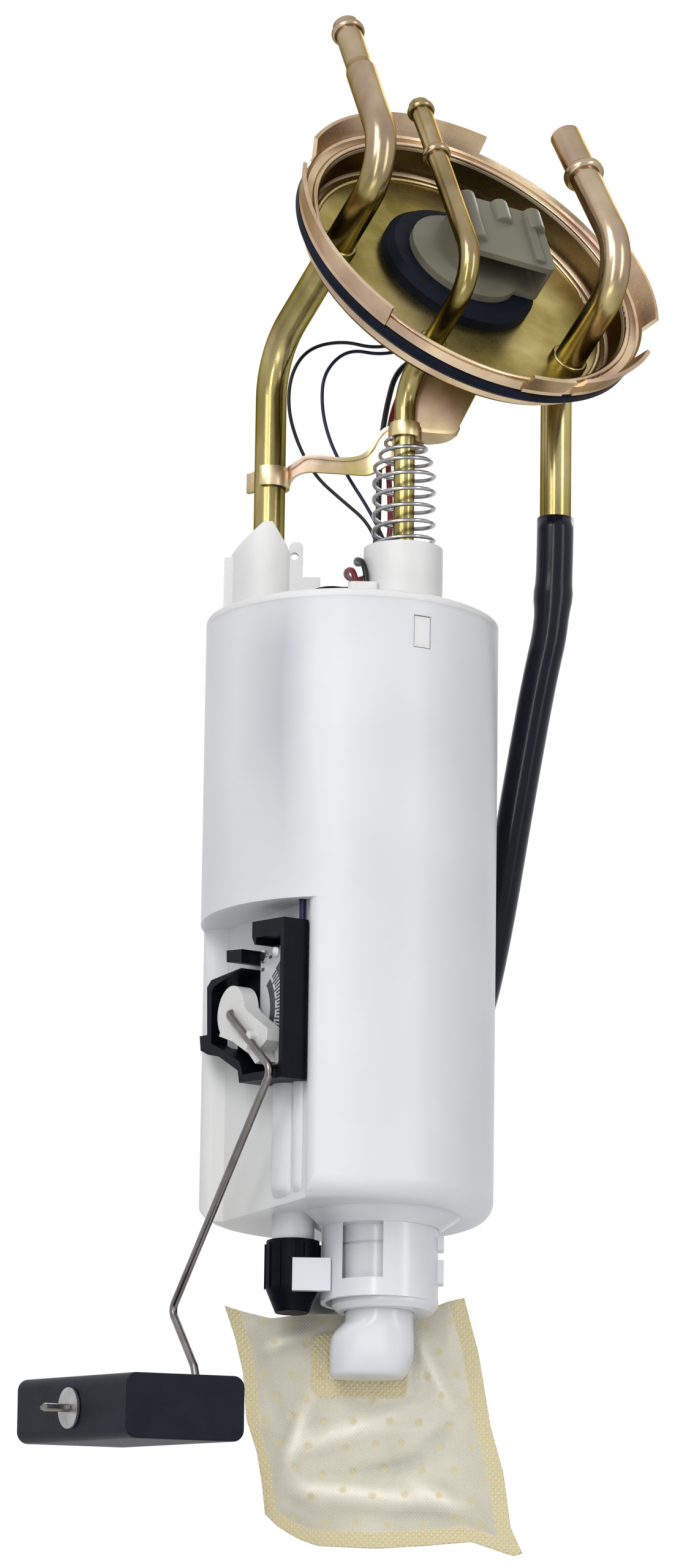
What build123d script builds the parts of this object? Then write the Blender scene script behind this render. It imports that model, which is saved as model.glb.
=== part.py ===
from build123d import *
import math
import os

# Fuel pump module for an in-tank installation.
#
# Frame: the origin is the centre of the gasket's sealing face, where the flange sits on the tank.
# +Z is up, along the reservoir's axis.  The flange leans over: its outward normal is
# FLANGE_NORMAL.  All sizes are in millimetres.

# ---------------------------------------------------------------- driving dimensions: layout
FLANGE_LEAN = 56.9            # angle between the reservoir's axis and the flange's normal
FLANGE_HEADING = -59.0        # compass angle of the normal, from +X towards +Y
FLANGE_CLOCKING = -35.1       # turn of the flange's own X about its normal, from the horizontal
RESERVOIR_X = -32.5           # the reservoir's bottom centre, from the origin
RESERVOIR_Y = 3.0
RES_HEIGHT = 183.0            # reservoir with its lid
LID_DROP = 110.8              # lid's top below the sealing face's centre
REACH = 60.0                  # half length of the shapes that cut right through
GAP = 0.3                     # clearance between pieces that move past each other
FIT = 0.05                    # radial clearance of a sliding or turning fit

# ---------------------------------------------------------------- flange
SHEET = 1.2                   # steel sheet of the flange
WALL_RADIUS = 53.2            # outside of the dished wall
RIM_WIDTH = 5.3
RIM_RADIUS = WALL_RADIUS + RIM_WIDTH
RIM_UNDER = 4.8               # rim's underside above the sealing face: the gasket's thickness
PAN_DEPTH = 10.4              # from the rim's top to the pan's floor
LIP_RISE = 6.6                # height of the turned-up lip above the rim's top
LIP_FLARE = 2.6
BEAD_RADIUS = 0.9             # stiffening beads pressed into the sheet
LIP_GAPS = [(47.5, 105.0), (177.0, 192.0), (257.0, 303.5), (318.3, 322.3), (358.0, 376.0)]
GASKET_WIDTH = 4.75
GASKET_RADIUS = WALL_RADIUS + FIT + GASKET_WIDTH
GASKET_EDGE = 1.4

# ---------------------------------------------------------------- electrical connector
GROMMET_AT = (-2.3, 5.3)      # centre, in the flange's own X and Y
GROMMET_RADIUS = 25.5
GROMMET_HOLE = 20.5           # hole in the pan
GROMMET_BORE = 17.0
GROMMET_RISE = 5.5            # above the pan's floor
GROMMET_UNDER = 2.6           # below the pan
PLUG_BASE_RISE = 2.2          # connector base above the grommet
PLUG_BASE_DROP = 6.0          # connector base below the pan
SOCKET_AT = (4.4, 12.6)
SOCKET_TURN = 28.7
SOCKET_WIDTH = 29.4
SOCKET_DEPTH = 27.0
SOCKET_HEIGHT = 12.6
SOCKET_WALL = 2.0
SOCKET_MOUTH = 19.0           # depth of the cavity
RIB_RADIUS = 3.1
RIB_LENGTHS = [22.0, 9.0, 9.0]
BLADE = (1.6, 0.8)            # terminal blade section
BLADE_REACH = 12.0            # blade length inside the cavity
BLADE_PITCH = 4.8
BLADE_RISER = 2.5             # riser, behind the cavity's back wall
BLADE_TAIL_Y = -3.2           # where the tails drop, in the socket's own Y
BLADE_TAIL = 4.0              # solder tail under the base

# ---------------------------------------------------------------- tubes
TUBE_RADIUS = 4.76            # 3/8 in feed and return tubes
TUBE_WALL = 0.9
VENT_RADIUS = 3.175           # 1/4 in vent tube
VENT_WALL = 0.75
FEED_AT = (-26.0, 14.7)       # vertical legs, from the reservoir's axis
VENT_AT = (15.0, -12.5)
RETURN_AT = (61.6, 8.0)
FEED_KNEE_DROP = 45.0         # sloping leg between the knee and the pan
VENT_KNEE_DROP = 17.3
RETURN_KNEE_DROP = 7.0
FEED_RISE, FEED_TURN, FEED_NIPPLE = 36.7, 120.8, 64.5
VENT_RISE, VENT_TURN, VENT_NIPPLE = 31.0, 121.5, 78.0
RETURN_RISE, RETURN_TURN, RETURN_NIPPLE = 40.3, 126.6, 60.4
KNEE_BEND = 26.0
VENT_KNEE_BEND = 14.0
TOP_BEND = 17.0
RETURN_KNEE_BEND = 9.0
FEED_END_RADIUS = 4.1         # feed nipple is swaged down to 5/16 in
FEED_END_LENGTH = 23.0
BEAD_RISE = 1.1               # rolled beads for the tank's hoses
RING_RISE = 1.6
RETURN_RING_BACK = 18.0       # ring bead, back from the nipple's end
VENT_RING_BACK = 24.0
WELD_RISE = 1.2               # brazed collar where a tube passes the pan
FEED_IN_TANK = 26.0           # feed tube below the lid's top
VENT_IN_TANK = 12.0
HOSE_END_RISE = 17.0          # lower end of the return tube, above the lid
HOSE_END_Z = RES_HEIGHT + HOSE_END_RISE

# ---------------------------------------------------------------- support bracket
STRAP = 1.6
CLIP_WALL = 1.3
FEED_CLIP_Z = (RES_HEIGHT + 46.6, RES_HEIGHT + 53.0)      # lower and upper edge
VENT_CLIP_Z = (RES_HEIGHT + 55.8, RES_HEIGHT + 60.8)
CLIP_OPENING = 25.0           # half angle of a clip's gap
WING_RISE = 102.0             # bracket's wing, before the pan cuts it

# ---------------------------------------------------------------- guide spring
SPRING_RADIUS = 9.15          # to the wire's centre
SPRING_WIRE = 1.25
SPRING_PITCH = 5.05
SPRING_NECK = 5.5             # radius of the last coil, under the bracket
SPRING_CONE = 9.0             # height over which the top coils narrow
SPRING_CONE_PITCH = 4.0
SPRING_STEPS = 16             # points in a turn of the narrowing coils

# ---------------------------------------------------------------- reservoir
RES_RADIUS = 44.3
RES_WALL = 2.0
RES_FLOOR = 2.6
RES_CORNER = 6.0
NOTCH_HEIGHT = 89.0
NOTCH_LOBE_X = -11.5
NOTCH_BACK_Y = 5.0
NOTCH_CORNER = 3.5
SENDER_WALL = 28.8            # notch's slanted wall, from the reservoir's axis
LID_THICK = 2.4
LID_SKIRT = 12.0
COLLAR_RADIUS = 12.0
COLLAR_BORE = 10.3
COLLAR_SEAT = RES_HEIGHT + 7.5        # the spring's seat in the collar
COLLAR_DEPTH = 13.0
COLLAR_TOP = COLLAR_SEAT + COLLAR_DEPTH
GUIDE_RADIUS = 11.5
GUIDE_FLOOR = RES_HEIGHT + 11.0
GUIDE_DEPTH = 22.5
GUIDE_TOP = GUIDE_FLOOR + GUIDE_DEPTH
BUSH_WALL = 1.2
LID_SKIRT_WALL = 1.6
SNAP_ANGLES = (-62.0, 58.0, 178.0)
SNAP_WIDTH = 5.8
SNAP_TALL = 10.0
SNAP_DROP = 4.6
WIRE_HOLE = 1.4
WIRE_HOLES = [(4.2, -21.4), (1.0, -21.4), (30.0, 3.0), (-19.5, -8.5)]
PORT = (-1.6, 7.4, -24.2, -18.9)   # raised block round the pump's two wires
PORT_RISE = 7.4

# ---------------------------------------------------------------- pump
PUMP_AT = (10.6, -6.0)
PUMP_RADIUS = 19.0
PUMP_BASE = 9.0
PUMP_LENGTH = 96.0
PUMP_WALL = 1.6
CAP_HEIGHT = 13.0
INLET_HEIGHT = 12.0
MAGNET_RADIUS = 17.2
MAGNET_THICK = 4.2
ARMATURE_RADIUS = 12.4
SHAFT_RADIUS = 1.6
IMPELLER_RADIUS = 15.0
IMPELLER_THICK = 3.6
COMMUTATOR_RADIUS = 7.0
OUTLET_RADIUS = 4.2
OUTLET_OFFSET = -9.0
OUTLET_HEIGHT = 16.0
VALVE_BORE = 3.3
BALL_RADIUS = 2.8
BEARING_RADIUS = 3.6
PLATE_THICK = 5.0
INLET_RADIUS = 8.4
INLET_LOW = -24.0
ARMATURE_SLOTS = 8
IMPELLER_VANES = 24
BRUSH_HALF = 2.2
BRUSH_OUT = 12.4
BRUSH_BACK = 15.6
PIN_PLACES = [(8.6, -4.0), (8.6, 4.0)]
ISOLATOR = 2.0                # thickness of the rubber sleeves
ISOLATOR_BAND = 12.0          # their height
ISOLATOR_UP = 2.0
HOLDER_WALL = 1.6
HOLDER_TOP = 62.0
PRESSURE_HOSE = 6.0
PRESSURE_START = 3.0          # hose's lower end above the pump
PRESSURE_GRIP = 9.0           # hose pushed up over the feed tube
PRESSURE_TURNS = (0.4655, 0.7241, 0.4828, 0.6207)    # turns of its S, as shares of its rise

# ---------------------------------------------------------------- pump retainer and strainer
RETAINER_RADIUS = 17.4
RETAINER_WALL = 1.6
RETAINER_DROP = 26.0
RETAINER_CONE = (24.0, 18.0, 4.0)     # upper radius, lower radius and height of the top flange
RETAINER_TUBE = 13.2          # inner sleeve round the pump's inlet
RETAINER_TUBE_BORE = 11.6
RETAINER_STEP = 20.7
RETAINER_WINDOW = (-0.4, 11.5)
RETAINER_RING = (1.8, 15.7, 20.5, 28.6)   # lower ring: offset in X, radius, drop of its top and bottom
STRAINER_PIPE = 10.3
STRAINER_TOP = 16.0           # drop of the pipe's mouth
STRAINER_BALL = 38.3          # drop of the centre of its rounded end
STRAINER_CHANNEL = 5.0
STRAINER_PLATE = (-11.0, 19.5, 35.0, 57.0)  # X range and drop range of the frame that carries the sock
PLATE_BACK = 6.5
PLATE_WALL = 1.5
SOCK_THICK = 6.0
SOCK_OUTLINE = [
    (-35.2, -24.7), (-29.4, -44.5), (-28.2, -58.4), (-24.9, -68.3), (-22.7, -84.0), (-18.3, -88.8),
    (-12.0, -93.8), (-6.4, -95.9), (11.0, -96.4), (39.0, -94.0), (51.5, -98.1), (54.0, -97.2),
    (50.5, -89.8), (48.2, -73.5), (44.3, -59.7), (40.4, -37.2), (36.1, -21.3), (30.8, -22.6),
    (21.7, -26.6), (0.0, -26.9), (-10.0, -26.2), (-21.2, -28.5), (-29.5, -26.4),
]

# ---------------------------------------------------------------- return hose and its elbow
HOSE_RADIUS = 5.3
HOSE_WALL = 0.5
ELBOW_AT = (-15.1, -6.0)
NIPPLE_RADIUS = 6.3
NIPPLE_BORE = 4.4
NIPPLE_DROP = 13.6
HOSE_GRIP = 19.8              # hose pushed up over the return tube
HOSE_LEAD = 10.0              # straight on past the tube's end
RETURN_HOSE_ROUTE = [
    (57.2, 12.0, 170.0), (53.4, 17.0, 148.0), (49.6, 22.4, 125.0), (45.4, 28.6, 98.0), (40.2, 36.0, 72.0),
    (31.6, 45.0, 50.0), (20.8, 52.4, 30.0), (11.0, 55.2, 9.0), (5.0, 49.6, -10.0), (-3.4, 36.0, -19.0),
    (-12.0, 25.5, -18.5),
]
ELBOW_RADIUS = 8.4
ELBOW_BODY = 7.9              # between the ribs
ELBOW_RIBS = 12
ELBOW_TOP = 7.7               # drops below the reservoir's bottom
ELBOW_WAIST = 22.0
ELBOW_TIP = 29.0
ELBOW_TIP_RADIUS = 5.0
BARB_DROP = 17.2
BARB_RADIUS = 4.0
BARB_BORE = 2.6
BARB_END = 20.0               # barb's reach, back from the elbow's axis
JET_BORE = 1.1

# ---------------------------------------------------------------- wires, from the lid's top
THIN_WIRE = 0.55
THICK_WIRE = 0.9
WIRE_START = 9.0              # straight stretch out of each terminal
LEAD_RADIUS = 1.0
LEAD_HOLE = 1.5
LEAD_AT = (-13.6, -37.6)
BLACK_THIN_ROUTE = [
    (14.6, 17.6, 95.6), (5.6, 14.0, 92.3), (-4.2, 13.0, 94.4), (-14.6, 11.0, 91.4), (-20.0, 9.0, 82.8),
    (-20.9, 9.0, 71.2), (-17.5, 10.4, 59.8), (-11.9, 11.2, 50.0), (-4.0, 10.2, 42.6), (4.6, 8.4, 34.8),
    (8.2, 7.2, 24.6), (5.4, 5.8, 15.8), (-0.6, -0.4, 11.2), (-8.4, -6.6, 10.4), (-16.2, -8.2, 6.8),
    (-19.5, -8.5, -1.8),
]
BLUE_THIN_ROUTE = [
    (18.6, 20.2, 95.4), (8.2, 17.0, 91.0), (-2.6, 15.4, 92.6), (-9.9, 13.6, 84.6), (-10.6, 12.2, 73.4),
    (-8.0, 11.0, 61.6), (-2.2, 8.6, 49.6), (4.2, 7.4, 39.4), (9.2, 7.8, 29.6), (13.0, 6.0, 19.4),
    (20.6, 4.4, 13.4), (28.2, 3.4, 8.4), (30.0, 3.0, -1.8),
]
BLACK_THICK_ROUTE = [
    (22.6, 21.4, 93.4), (12.6, 12.0, 85.6), (9.4, 6.0, 71.0), (7.6, 3.0, 56.0), (7.4, 1.2, 41.0),
    (7.4, 1.4, 28.4), (4.8, -0.4, 20.6), (0.9, -6.0, 17.4), (0.8, -13.4, 17.2), (2.8, -19.6, 15.0),
    (4.2, -21.4, 9.0), (4.2, -21.4, -1.8),
]
RED_THICK_ROUTE = [
    (27.0, 22.6, 92.6), (16.2, 12.6, 83.4), (10.8, 8.6, 69.6), (10.0, 5.8, 55.0), (11.0, 4.2, 41.0),
    (11.2, 4.4, 28.0), (7.6, 3.6, 18.4), (1.6, 0.6, 14.2), (-2.0, -6.8, 13.2), (-2.2, -14.4, 13.2),
    (-0.2, -20.4, 12.2), (1.0, -21.4, 7.4), (1.0, -21.4, -1.8),
]
LEAD_TOP = RES_HEIGHT - 2.6    # leads' upper ends, under the lid
LEAD_ROUTES = [                # heights as shares, from the pump's top to the leads' upper ends
    [(4.2, -21.4, 1.0), (4.2, -21.4, 0.8355), (8.0, -18.6, 0.6631), (14.6, -13.0, 0.5119)],
    [(1.0, -21.4, 1.0), (1.0, -21.4, 0.809), (4.6, -16.0, 0.6366), (12.6, -7.4, 0.5438)],
]
PLUG_TOP = 14.0
PLUG_LEAD = 16.0              # leads straight out of the plug
SENDER_LEAD_LOW = NOTCH_HEIGHT - 6.1
SENDER_LEAD_ROUTE = [          # heights as shares, from the lead's lower end to its upper
    (-13.6, -37.6, 0.0), (-13.6, -37.6, 0.1446), (-15.6, -33.4, 0.2985), (-19.6, -26.0, 0.4523),
    (-22.4, -17.6, 0.6164), (-21.6, -11.0, 0.7805), (-19.5, -8.5, 0.9036), (-19.5, -8.5, 1.0),
]

# ---------------------------------------------------------------- level sender
PIVOT = (-35.8, -18.0, 59.0)  # arm plane's point on the pivot axis, from the reservoir's bottom
SENDER_THICK = 9.6
SENDER_FLOOR = 2.2            # plastic under the card
SENDER_OUTLINE = [
    (31.0, -24.5), (31.0, 23.5), (11.8, 25.4), (11.8, 20.8), (14.0, 17.2), (-3.6, 19.5), (-3.4, 15.9),
    (5.9, 14.1), (6.0, 12.6), (-12.6, 12.1), (-15.2, 10.3), (-14.6, -4.3), (-19.2, -3.9), (-18.5, -8.4),
    (-13.7, -10.5), (-7.2, -12.1), (4.5, -18.3), (5.4, -22.1),
]
SENDER_POCKET = [
    (28.9, -21.6), (28.9, 18.8), (14.2, 20.2), (14.2, 14.0), (-11.0, 9.8), (-12.4, 8.5), (-12.0, -7.4),
    (-6.5, -9.8), (5.5, -15.8), (7.6, -20.0),
]
SENDER_BACKED_FROM = -9.0     # left of this the frame stands off the notch's wall
SENDER_STANDOFF = 4.0
CARD = (5.6, 22.0, -9.6, 18.2)
CARD_THICK = 0.8
TRACKS = [(19.0, 22.7), (12.0, 14.6)]
TRACK_ANGLES = (-25.0, 37.5)
TRACK_THICK = 0.2
CONTACT_ANGLES = (-22.0, -34.0)
CONTACT_THICK = 0.5
RIVETS = [(8.3, 16.4), (16.0, 16.6)]
RIVET_RADIUS = 0.9
RIVET_HEAD = 1.7
PIVOT_BOSS = 4.2
PIVOT_END = 0.6               # pivot pin's blind end above the notch's wall
HUB_CLIP_FROM = 16.0
HUB_LOW = 4.8
HUB_HIGH = 9.8
HUB_RADIUS = 8.0
HUB_LOBE = [
    (3.2, 5.4), (9.8, -1.1), (22.4, -8.6), (22.0, -12.0), (16.8, -14.3), (18.6, -17.6), (15.4, -18.0),
    (11.3, -14.3), (1.2, -8.9), (-7.0, -6.0),
]
ARM_WIRE = 1.2
ARM_BEND = 3.2
ARM_ROUTE = [(0.0, 0.0), (27.7, -21.8), (-30.2, -85.4), (-15.8, -104.0), (-10.6, -118.6)]
PIN_DROOP = 3.0               # float pin, below the level
PIN_FLAT = (4.3, 1.2, 7.6)
FLOAT_LENGTH = 68.0
FLOAT_WIDTH = 39.0
FLOAT_HEIGHT = 19.0
FLOAT_EDGE = 3.5
FLOAT_END_EDGE = 0.6
FLOAT_STANDOFF = 4.6          # float's inner face, from the arm's plane
FLOAT_TILT = 5.2              # the float hangs turned a little on its pin
NUT_RADIUS = 6.0
NUT_THICK = 0.8
PIN_PAST_NUT = 0.2            # round pin between the nut and its flattened end
PIN_LENGTH = FLOAT_STANDOFF + FLOAT_WIDTH + GAP + NUT_THICK + PIN_PAST_NUT + PIN_FLAT[2]


# ================================================================ frames
def flange_normal():
    lean, heading = math.radians(FLANGE_LEAN), math.radians(FLANGE_HEADING)
    across = math.sin(lean)
    return Vector(across * math.cos(heading), across * math.sin(heading), math.cos(lean))


def flange_plane():
    """Plane of the sealing face: Z along the outward normal."""
    normal = flange_normal()
    level = Vector(0, 0, 1).cross(normal).normalized()
    return Plane(origin=(0, 0, 0), x_dir=level.rotate(Axis((0, 0, 0), normal), FLANGE_CLOCKING), z_dir=normal)


FLANGE = flange_plane()
RES = Vector(RESERVOIR_X, RESERVOIR_Y, -LID_DROP - RES_HEIGHT)
PAN_TOP = RIM_UNDER + SHEET - PAN_DEPTH
PAN_UNDER = PAN_TOP - SHEET
SENDER_OUT = Vector(-math.cos(math.radians(30)), -math.sin(math.radians(30)), 0)
ARM_PLANE = PIVOT[0] * SENDER_OUT.X + PIVOT[1] * SENDER_OUT.Y - SENDER_WALL


def on_flange(shape):
    return Location(FLANGE) * shape


def in_reservoir(shape):
    return Location(RES) * shape


def sender_plane():
    """Plane of the notch's slanted wall: X towards the front right, Z out of the wall."""
    foot = RES + Vector(*PIVOT) - SENDER_OUT * ARM_PLANE
    return Plane(origin=foot, x_dir=(-SENDER_OUT.Y, SENDER_OUT.X, 0), z_dir=SENDER_OUT)


SENDER = sender_plane()


def on_sender(shape):
    return Location(SENDER) * shape


# ================================================================ small helpers
def rod(radius, low, high, x=0.0, y=0.0):
    """Round bar along Z from low to high."""
    return Pos(x, y, (low + high) / 2) * Cylinder(radius, high - low)


def ring(outer, inner, low, high, x=0.0, y=0.0):
    return rod(outer, low, high, x, y) - rod(inner, low - 1, high + 1, x, y)


def block(x0, x1, y0, y1, z0, z1):
    return Pos((x0 + x1) / 2, (y0 + y1) / 2, (z0 + z1) / 2) * Box(x1 - x0, y1 - y0, z1 - z0)


def prism(points, low, high):
    """Upright prism on a closed outline."""
    face = make_face(Polyline(*points, close=True))
    return Pos(0, 0, low) * extrude(face, high - low)


def turned(profile):
    """Body turned about Z from (radius, height) points."""
    face = make_face(Polyline(*[(r, 0, z) for r, z in profile], close=True))
    return revolve(face, Axis.Z)


def polar(angle):
    return math.cos(math.radians(angle)), math.sin(math.radians(angle))


def sector(start, end, reach, low, high):
    """Wedge about Z between two angles."""
    steps = max(2, int((end - start) / 15) + 1)
    corners = [(0.0, 0.0)]
    for step in range(steps + 1):
        c, s = polar(start + (end - start) * step / steps)
        corners.append((c * reach, s * reach))
    return prism(corners, low, high)


def cord_radii(points):
    """Bend radii of a free cord: 0.45 of the shorter run over the tangent of half the turn."""
    radii = []
    for before, here, after in zip(points, points[1:], points[2:]):
        run_in, run_out = here - before, after - here
        turn = math.radians(run_in.get_angle(run_out))
        radii.append(0.45 * min(run_in.length, run_out.length) / math.tan(turn / 2))
    return radii


def swept(path, radius):
    section = Plane(origin=path @ 0, z_dir=path % 0) * Circle(radius)
    return sweep(section, path=path)


def cord(name, points, radius, bore=0.0):
    """Free cord or hose through hand-set route points."""
    places = [Vector(*p) for p in points]
    radii = cord_radii(places)
    path = FilletPolyline(*places, radius=radii)
    solid = swept(path, radius)
    print(name, "length", round(path.length, 1), "radii", [round(r, 1) for r in radii])
    ratio = solid.volume / (math.pi * radius ** 2 * path.length)
    print(name, "volume over section times length", round(ratio, 4))
    return solid if bore == 0 else solid - swept(path, bore)


def res_points(points):
    return [RES + Vector(*p) for p in points]


# ================================================================ flange assembly
def knee(at, drop):
    """Where a tube's vertical leg meets its sloping leg, and where that leg meets the pan."""
    normal = FLANGE.z_dir
    x, y = RES.X + at[0], RES.Y + at[1]
    z = (PAN_TOP - drop - normal.X * x - normal.Y * y) / normal.Z
    low = Vector(x, y, z)
    return low, low + normal * drop


def flange_cover():
    inner_wall = WALL_RADIUS - SHEET
    rim_top = RIM_UNDER + SHEET
    lip_foot = RIM_RADIUS - SHEET
    dish = turned([
        (0, PAN_UNDER), (WALL_RADIUS - 1.5, PAN_UNDER), (WALL_RADIUS, PAN_UNDER + 1.5),
        (WALL_RADIUS, RIM_UNDER), (RIM_RADIUS, RIM_UNDER), (RIM_RADIUS, rim_top),
        (RIM_RADIUS + LIP_FLARE, rim_top + LIP_RISE), (lip_foot + LIP_FLARE, rim_top + LIP_RISE + 0.3),
        (lip_foot, rim_top + 0.6), (lip_foot - 0.6, rim_top), (inner_wall + 0.8, rim_top),
        (inner_wall, rim_top - 0.8), (inner_wall, PAN_TOP + 0.8), (inner_wall - 0.8, PAN_TOP),
        (0, PAN_TOP),
    ])
    pan_bead = Pos(0, 0, PAN_TOP) * Torus(inner_wall - 3.0, BEAD_RADIUS)
    rim_bead = Pos(0, 0, rim_top) * Torus(inner_wall + 1.6, BEAD_RADIUS)
    dish = dish + (pan_bead + rim_bead) - rod(WALL_RADIUS, PAN_UNDER - 3, PAN_UNDER)
    core = rod(lip_foot + 0.5, PAN_UNDER - 5, rim_top + LIP_RISE + 5)
    for start, end in LIP_GAPS:
        dish -= sector(start, end, RIM_RADIUS * 1.2, RIM_UNDER - 1, rim_top + LIP_RISE + 2) - core
    dish -= rod(GROMMET_HOLE, PAN_UNDER - 1, PAN_TOP + 1, *GROMMET_AT)
    cover = on_flange(dish)
    for at, drop, radius in TUBE_LEGS:
        hole = knee(at, drop)[1]
        cover -= Location(Plane(origin=hole, z_dir=FLANGE.z_dir)) * Cylinder(radius + FIT, 6 * SHEET)
    return cover


TUBE_LEGS = [
    (FEED_AT, FEED_KNEE_DROP, TUBE_RADIUS),
    (VENT_AT, VENT_KNEE_DROP, VENT_RADIUS),
    (RETURN_AT, RETURN_KNEE_DROP, TUBE_RADIUS),
]


def flange_gasket():
    body = turned([
        (WALL_RADIUS + FIT, 0), (GASKET_RADIUS - GASKET_EDGE, 0), (GASKET_RADIUS, GASKET_EDGE),
        (GASKET_RADIUS, RIM_UNDER - GASKET_EDGE), (GASKET_RADIUS - GASKET_EDGE, RIM_UNDER),
        (WALL_RADIUS + FIT, RIM_UNDER),
    ])
    return on_flange(body)


def grommet_top():
    return PAN_TOP + GROMMET_RISE


def connector_grommet():
    x, y = GROMMET_AT
    outer = GROMMET_RADIUS
    low, high = PAN_UNDER - GROMMET_UNDER, grommet_top()
    body = turned([
        (GROMMET_BORE, low), (GROMMET_HOLE + 1.2, low), (GROMMET_HOLE + 2.0, PAN_UNDER),
        (GROMMET_HOLE, PAN_UNDER), (GROMMET_HOLE, PAN_TOP), (outer, PAN_TOP),
        (outer, high - 2.2), (outer - 2.0, high), (GROMMET_BORE, high),
    ])
    return on_flange(Pos(x, y, 0) * body)


def socket_place():
    return Pos(SOCKET_AT[0], SOCKET_AT[1], socket_low()) * Rot(0, 0, SOCKET_TURN)


def socket_low():
    return grommet_top() + 0.2


def blade_offsets():
    return [(index - 1.5) * BLADE_PITCH - 1.5 for index in range(4)]


def terminal_solids(extra=0.0):
    """Four bent terminals: a blade in the cavity, a jog in the socket's floor and a tail through the base."""
    wide, thin = BLADE[0] / 2 + extra, BLADE[1] / 2 + extra
    level = SOCKET_HEIGHT / 2
    back = SOCKET_MOUTH - SOCKET_DEPTH / 2
    riser = back + BLADE_RISER
    tail_low = PAN_UNDER - PLUG_BASE_DROP - BLADE_TAIL - socket_low()
    solids = []
    for x in blade_offsets():
        blade = block(x - wide, x + wide, back - BLADE_REACH, riser + thin, level - thin, level + thin)
        drop = block(x - wide, x + wide, riser - thin, riser + thin, SOCKET_WALL / 2 - thin, level)
        jog = block(x - wide, x + wide, BLADE_TAIL_Y, riser, SOCKET_WALL / 2 - thin, SOCKET_WALL / 2 + thin)
        tail = block(x - wide, x + wide, BLADE_TAIL_Y - thin, BLADE_TAIL_Y + thin, tail_low, SOCKET_WALL / 2)
        solids.append(socket_place() * (blade + drop + jog + tail))
    return solids


def connector_terminals():
    return on_flange(Compound(terminal_solids()))


def connector_body():
    gx, gy = GROMMET_AT
    low = PAN_UNDER - PLUG_BASE_DROP
    base = rod(GROMMET_BORE - FIT, low, socket_low(), gx, gy)
    base += rod(GROMMET_BORE + 1.4, socket_low() - 0.2, socket_low() + PLUG_BASE_RISE, gx, gy)
    half, deep, high = SOCKET_WIDTH / 2, SOCKET_DEPTH / 2, SOCKET_HEIGHT
    shell = fillet(block(-half, half, -deep, deep, 0, high).edges().filter_by(Axis.Z), 2.5)
    for index, length in enumerate(RIB_LENGTHS):
        x = (index - 1) * (half - RIB_RADIUS)
        rib = Pos(x, deep - length / 2, high - 0.6) * Rot(90, 0, 0) * Cylinder(RIB_RADIUS, length)
        rib = fillet(rib.edges(), 0.8)
        shell += rib & block(-half, half, -deep - 1, deep + 1, high - 2, high + 9)
    mouth = block(
        -half + SOCKET_WALL, half - SOCKET_WALL, -deep - 1, -deep + SOCKET_MOUTH,
        SOCKET_WALL, high - SOCKET_WALL)
    shell -= fillet(mouth.edges().filter_by(Axis.Y), 1.2)
    shell += block(half - 7, half - 4, -deep + 2, deep - 4, high - 0.4, high + 1.1)
    body = base + socket_place() * shell
    for slot in terminal_solids(FIT / 2):
        body -= slot
    return on_flange(body)


def bent_tube(points, radii, outer, wall):
    path = FilletPolyline(*points, radius=radii)
    return swept(path, outer) - swept(path, outer - wall)


def bead(place, direction, inner, rise):
    """Rolled bead round a tube."""
    collar = ring(inner + rise, inner - 0.2, -rise, rise)
    collar = fillet(collar.edges().filter_by(GeomType.CIRCLE).sort_by(SortBy.RADIUS)[-2:], rise * 0.8)
    return Location(Plane(origin=place, z_dir=direction)) * collar


def nipple_direction(angle):
    c, s = polar(angle)
    return FLANGE.x_dir * c + FLANGE.y_dir * s


def tube_run(at, drop, low_z, rise, angle, length):
    """Corner points of one tube, from its lower end to its hose nipple."""
    low_knee, hole = knee(at, drop)
    top = hole + FLANGE.z_dir * rise
    foot = Vector(low_knee.X, low_knee.Y, RES.Z + low_z)
    return [foot, low_knee, top, top + nipple_direction(angle) * length], hole


def weld(hole, radius):
    collar = ring(radius + WELD_RISE, radius - 0.2, 0, 2.4)
    collar = fillet(collar.edges().filter_by(GeomType.CIRCLE).sort_by(SortBy.RADIUS)[-2:][:1], 0.8)
    return Location(Plane(origin=hole, z_dir=FLANGE.z_dir)) * collar


def feed_tube():
    points, hole = tube_run(
        FEED_AT, FEED_KNEE_DROP, RES_HEIGHT - FEED_IN_TANK, FEED_RISE, FEED_TURN,
        FEED_NIPPLE - FEED_END_LENGTH)
    way = nipple_direction(FEED_TURN)
    tube = bent_tube(points, [KNEE_BEND, TOP_BEND], TUBE_RADIUS, TUBE_WALL)
    step = Location(Plane(origin=points[-1], z_dir=way))
    cone = step * (Pos(0, 0, 1.5) * (Cone(TUBE_RADIUS, FEED_END_RADIUS, 3.0)
                                     - Cylinder(FEED_END_RADIUS - TUBE_WALL, 4.0)))
    end = step * ring(FEED_END_RADIUS, FEED_END_RADIUS - TUBE_WALL, 3.0, FEED_END_LENGTH)
    rim = bead(points[-1] + way * (FEED_END_LENGTH - 3.5), way, FEED_END_RADIUS, BEAD_RISE)
    return tube + cone + end + rim + weld(hole, TUBE_RADIUS)


def vent_tube():
    points, hole = tube_run(
        VENT_AT, VENT_KNEE_DROP, COLLAR_SEAT - VENT_IN_TANK, VENT_RISE, VENT_TURN, VENT_NIPPLE)
    way = nipple_direction(VENT_TURN)
    tube = bent_tube(points, [VENT_KNEE_BEND, TOP_BEND * 0.8], VENT_RADIUS, VENT_WALL)
    end = bead(points[-1] - way * 3.0, way, VENT_RADIUS, BEAD_RISE)
    stop = bead(points[-1] - way * VENT_RING_BACK, way, VENT_RADIUS, RING_RISE * 0.8)
    return tube + end + stop + weld(hole, VENT_RADIUS)


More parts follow.
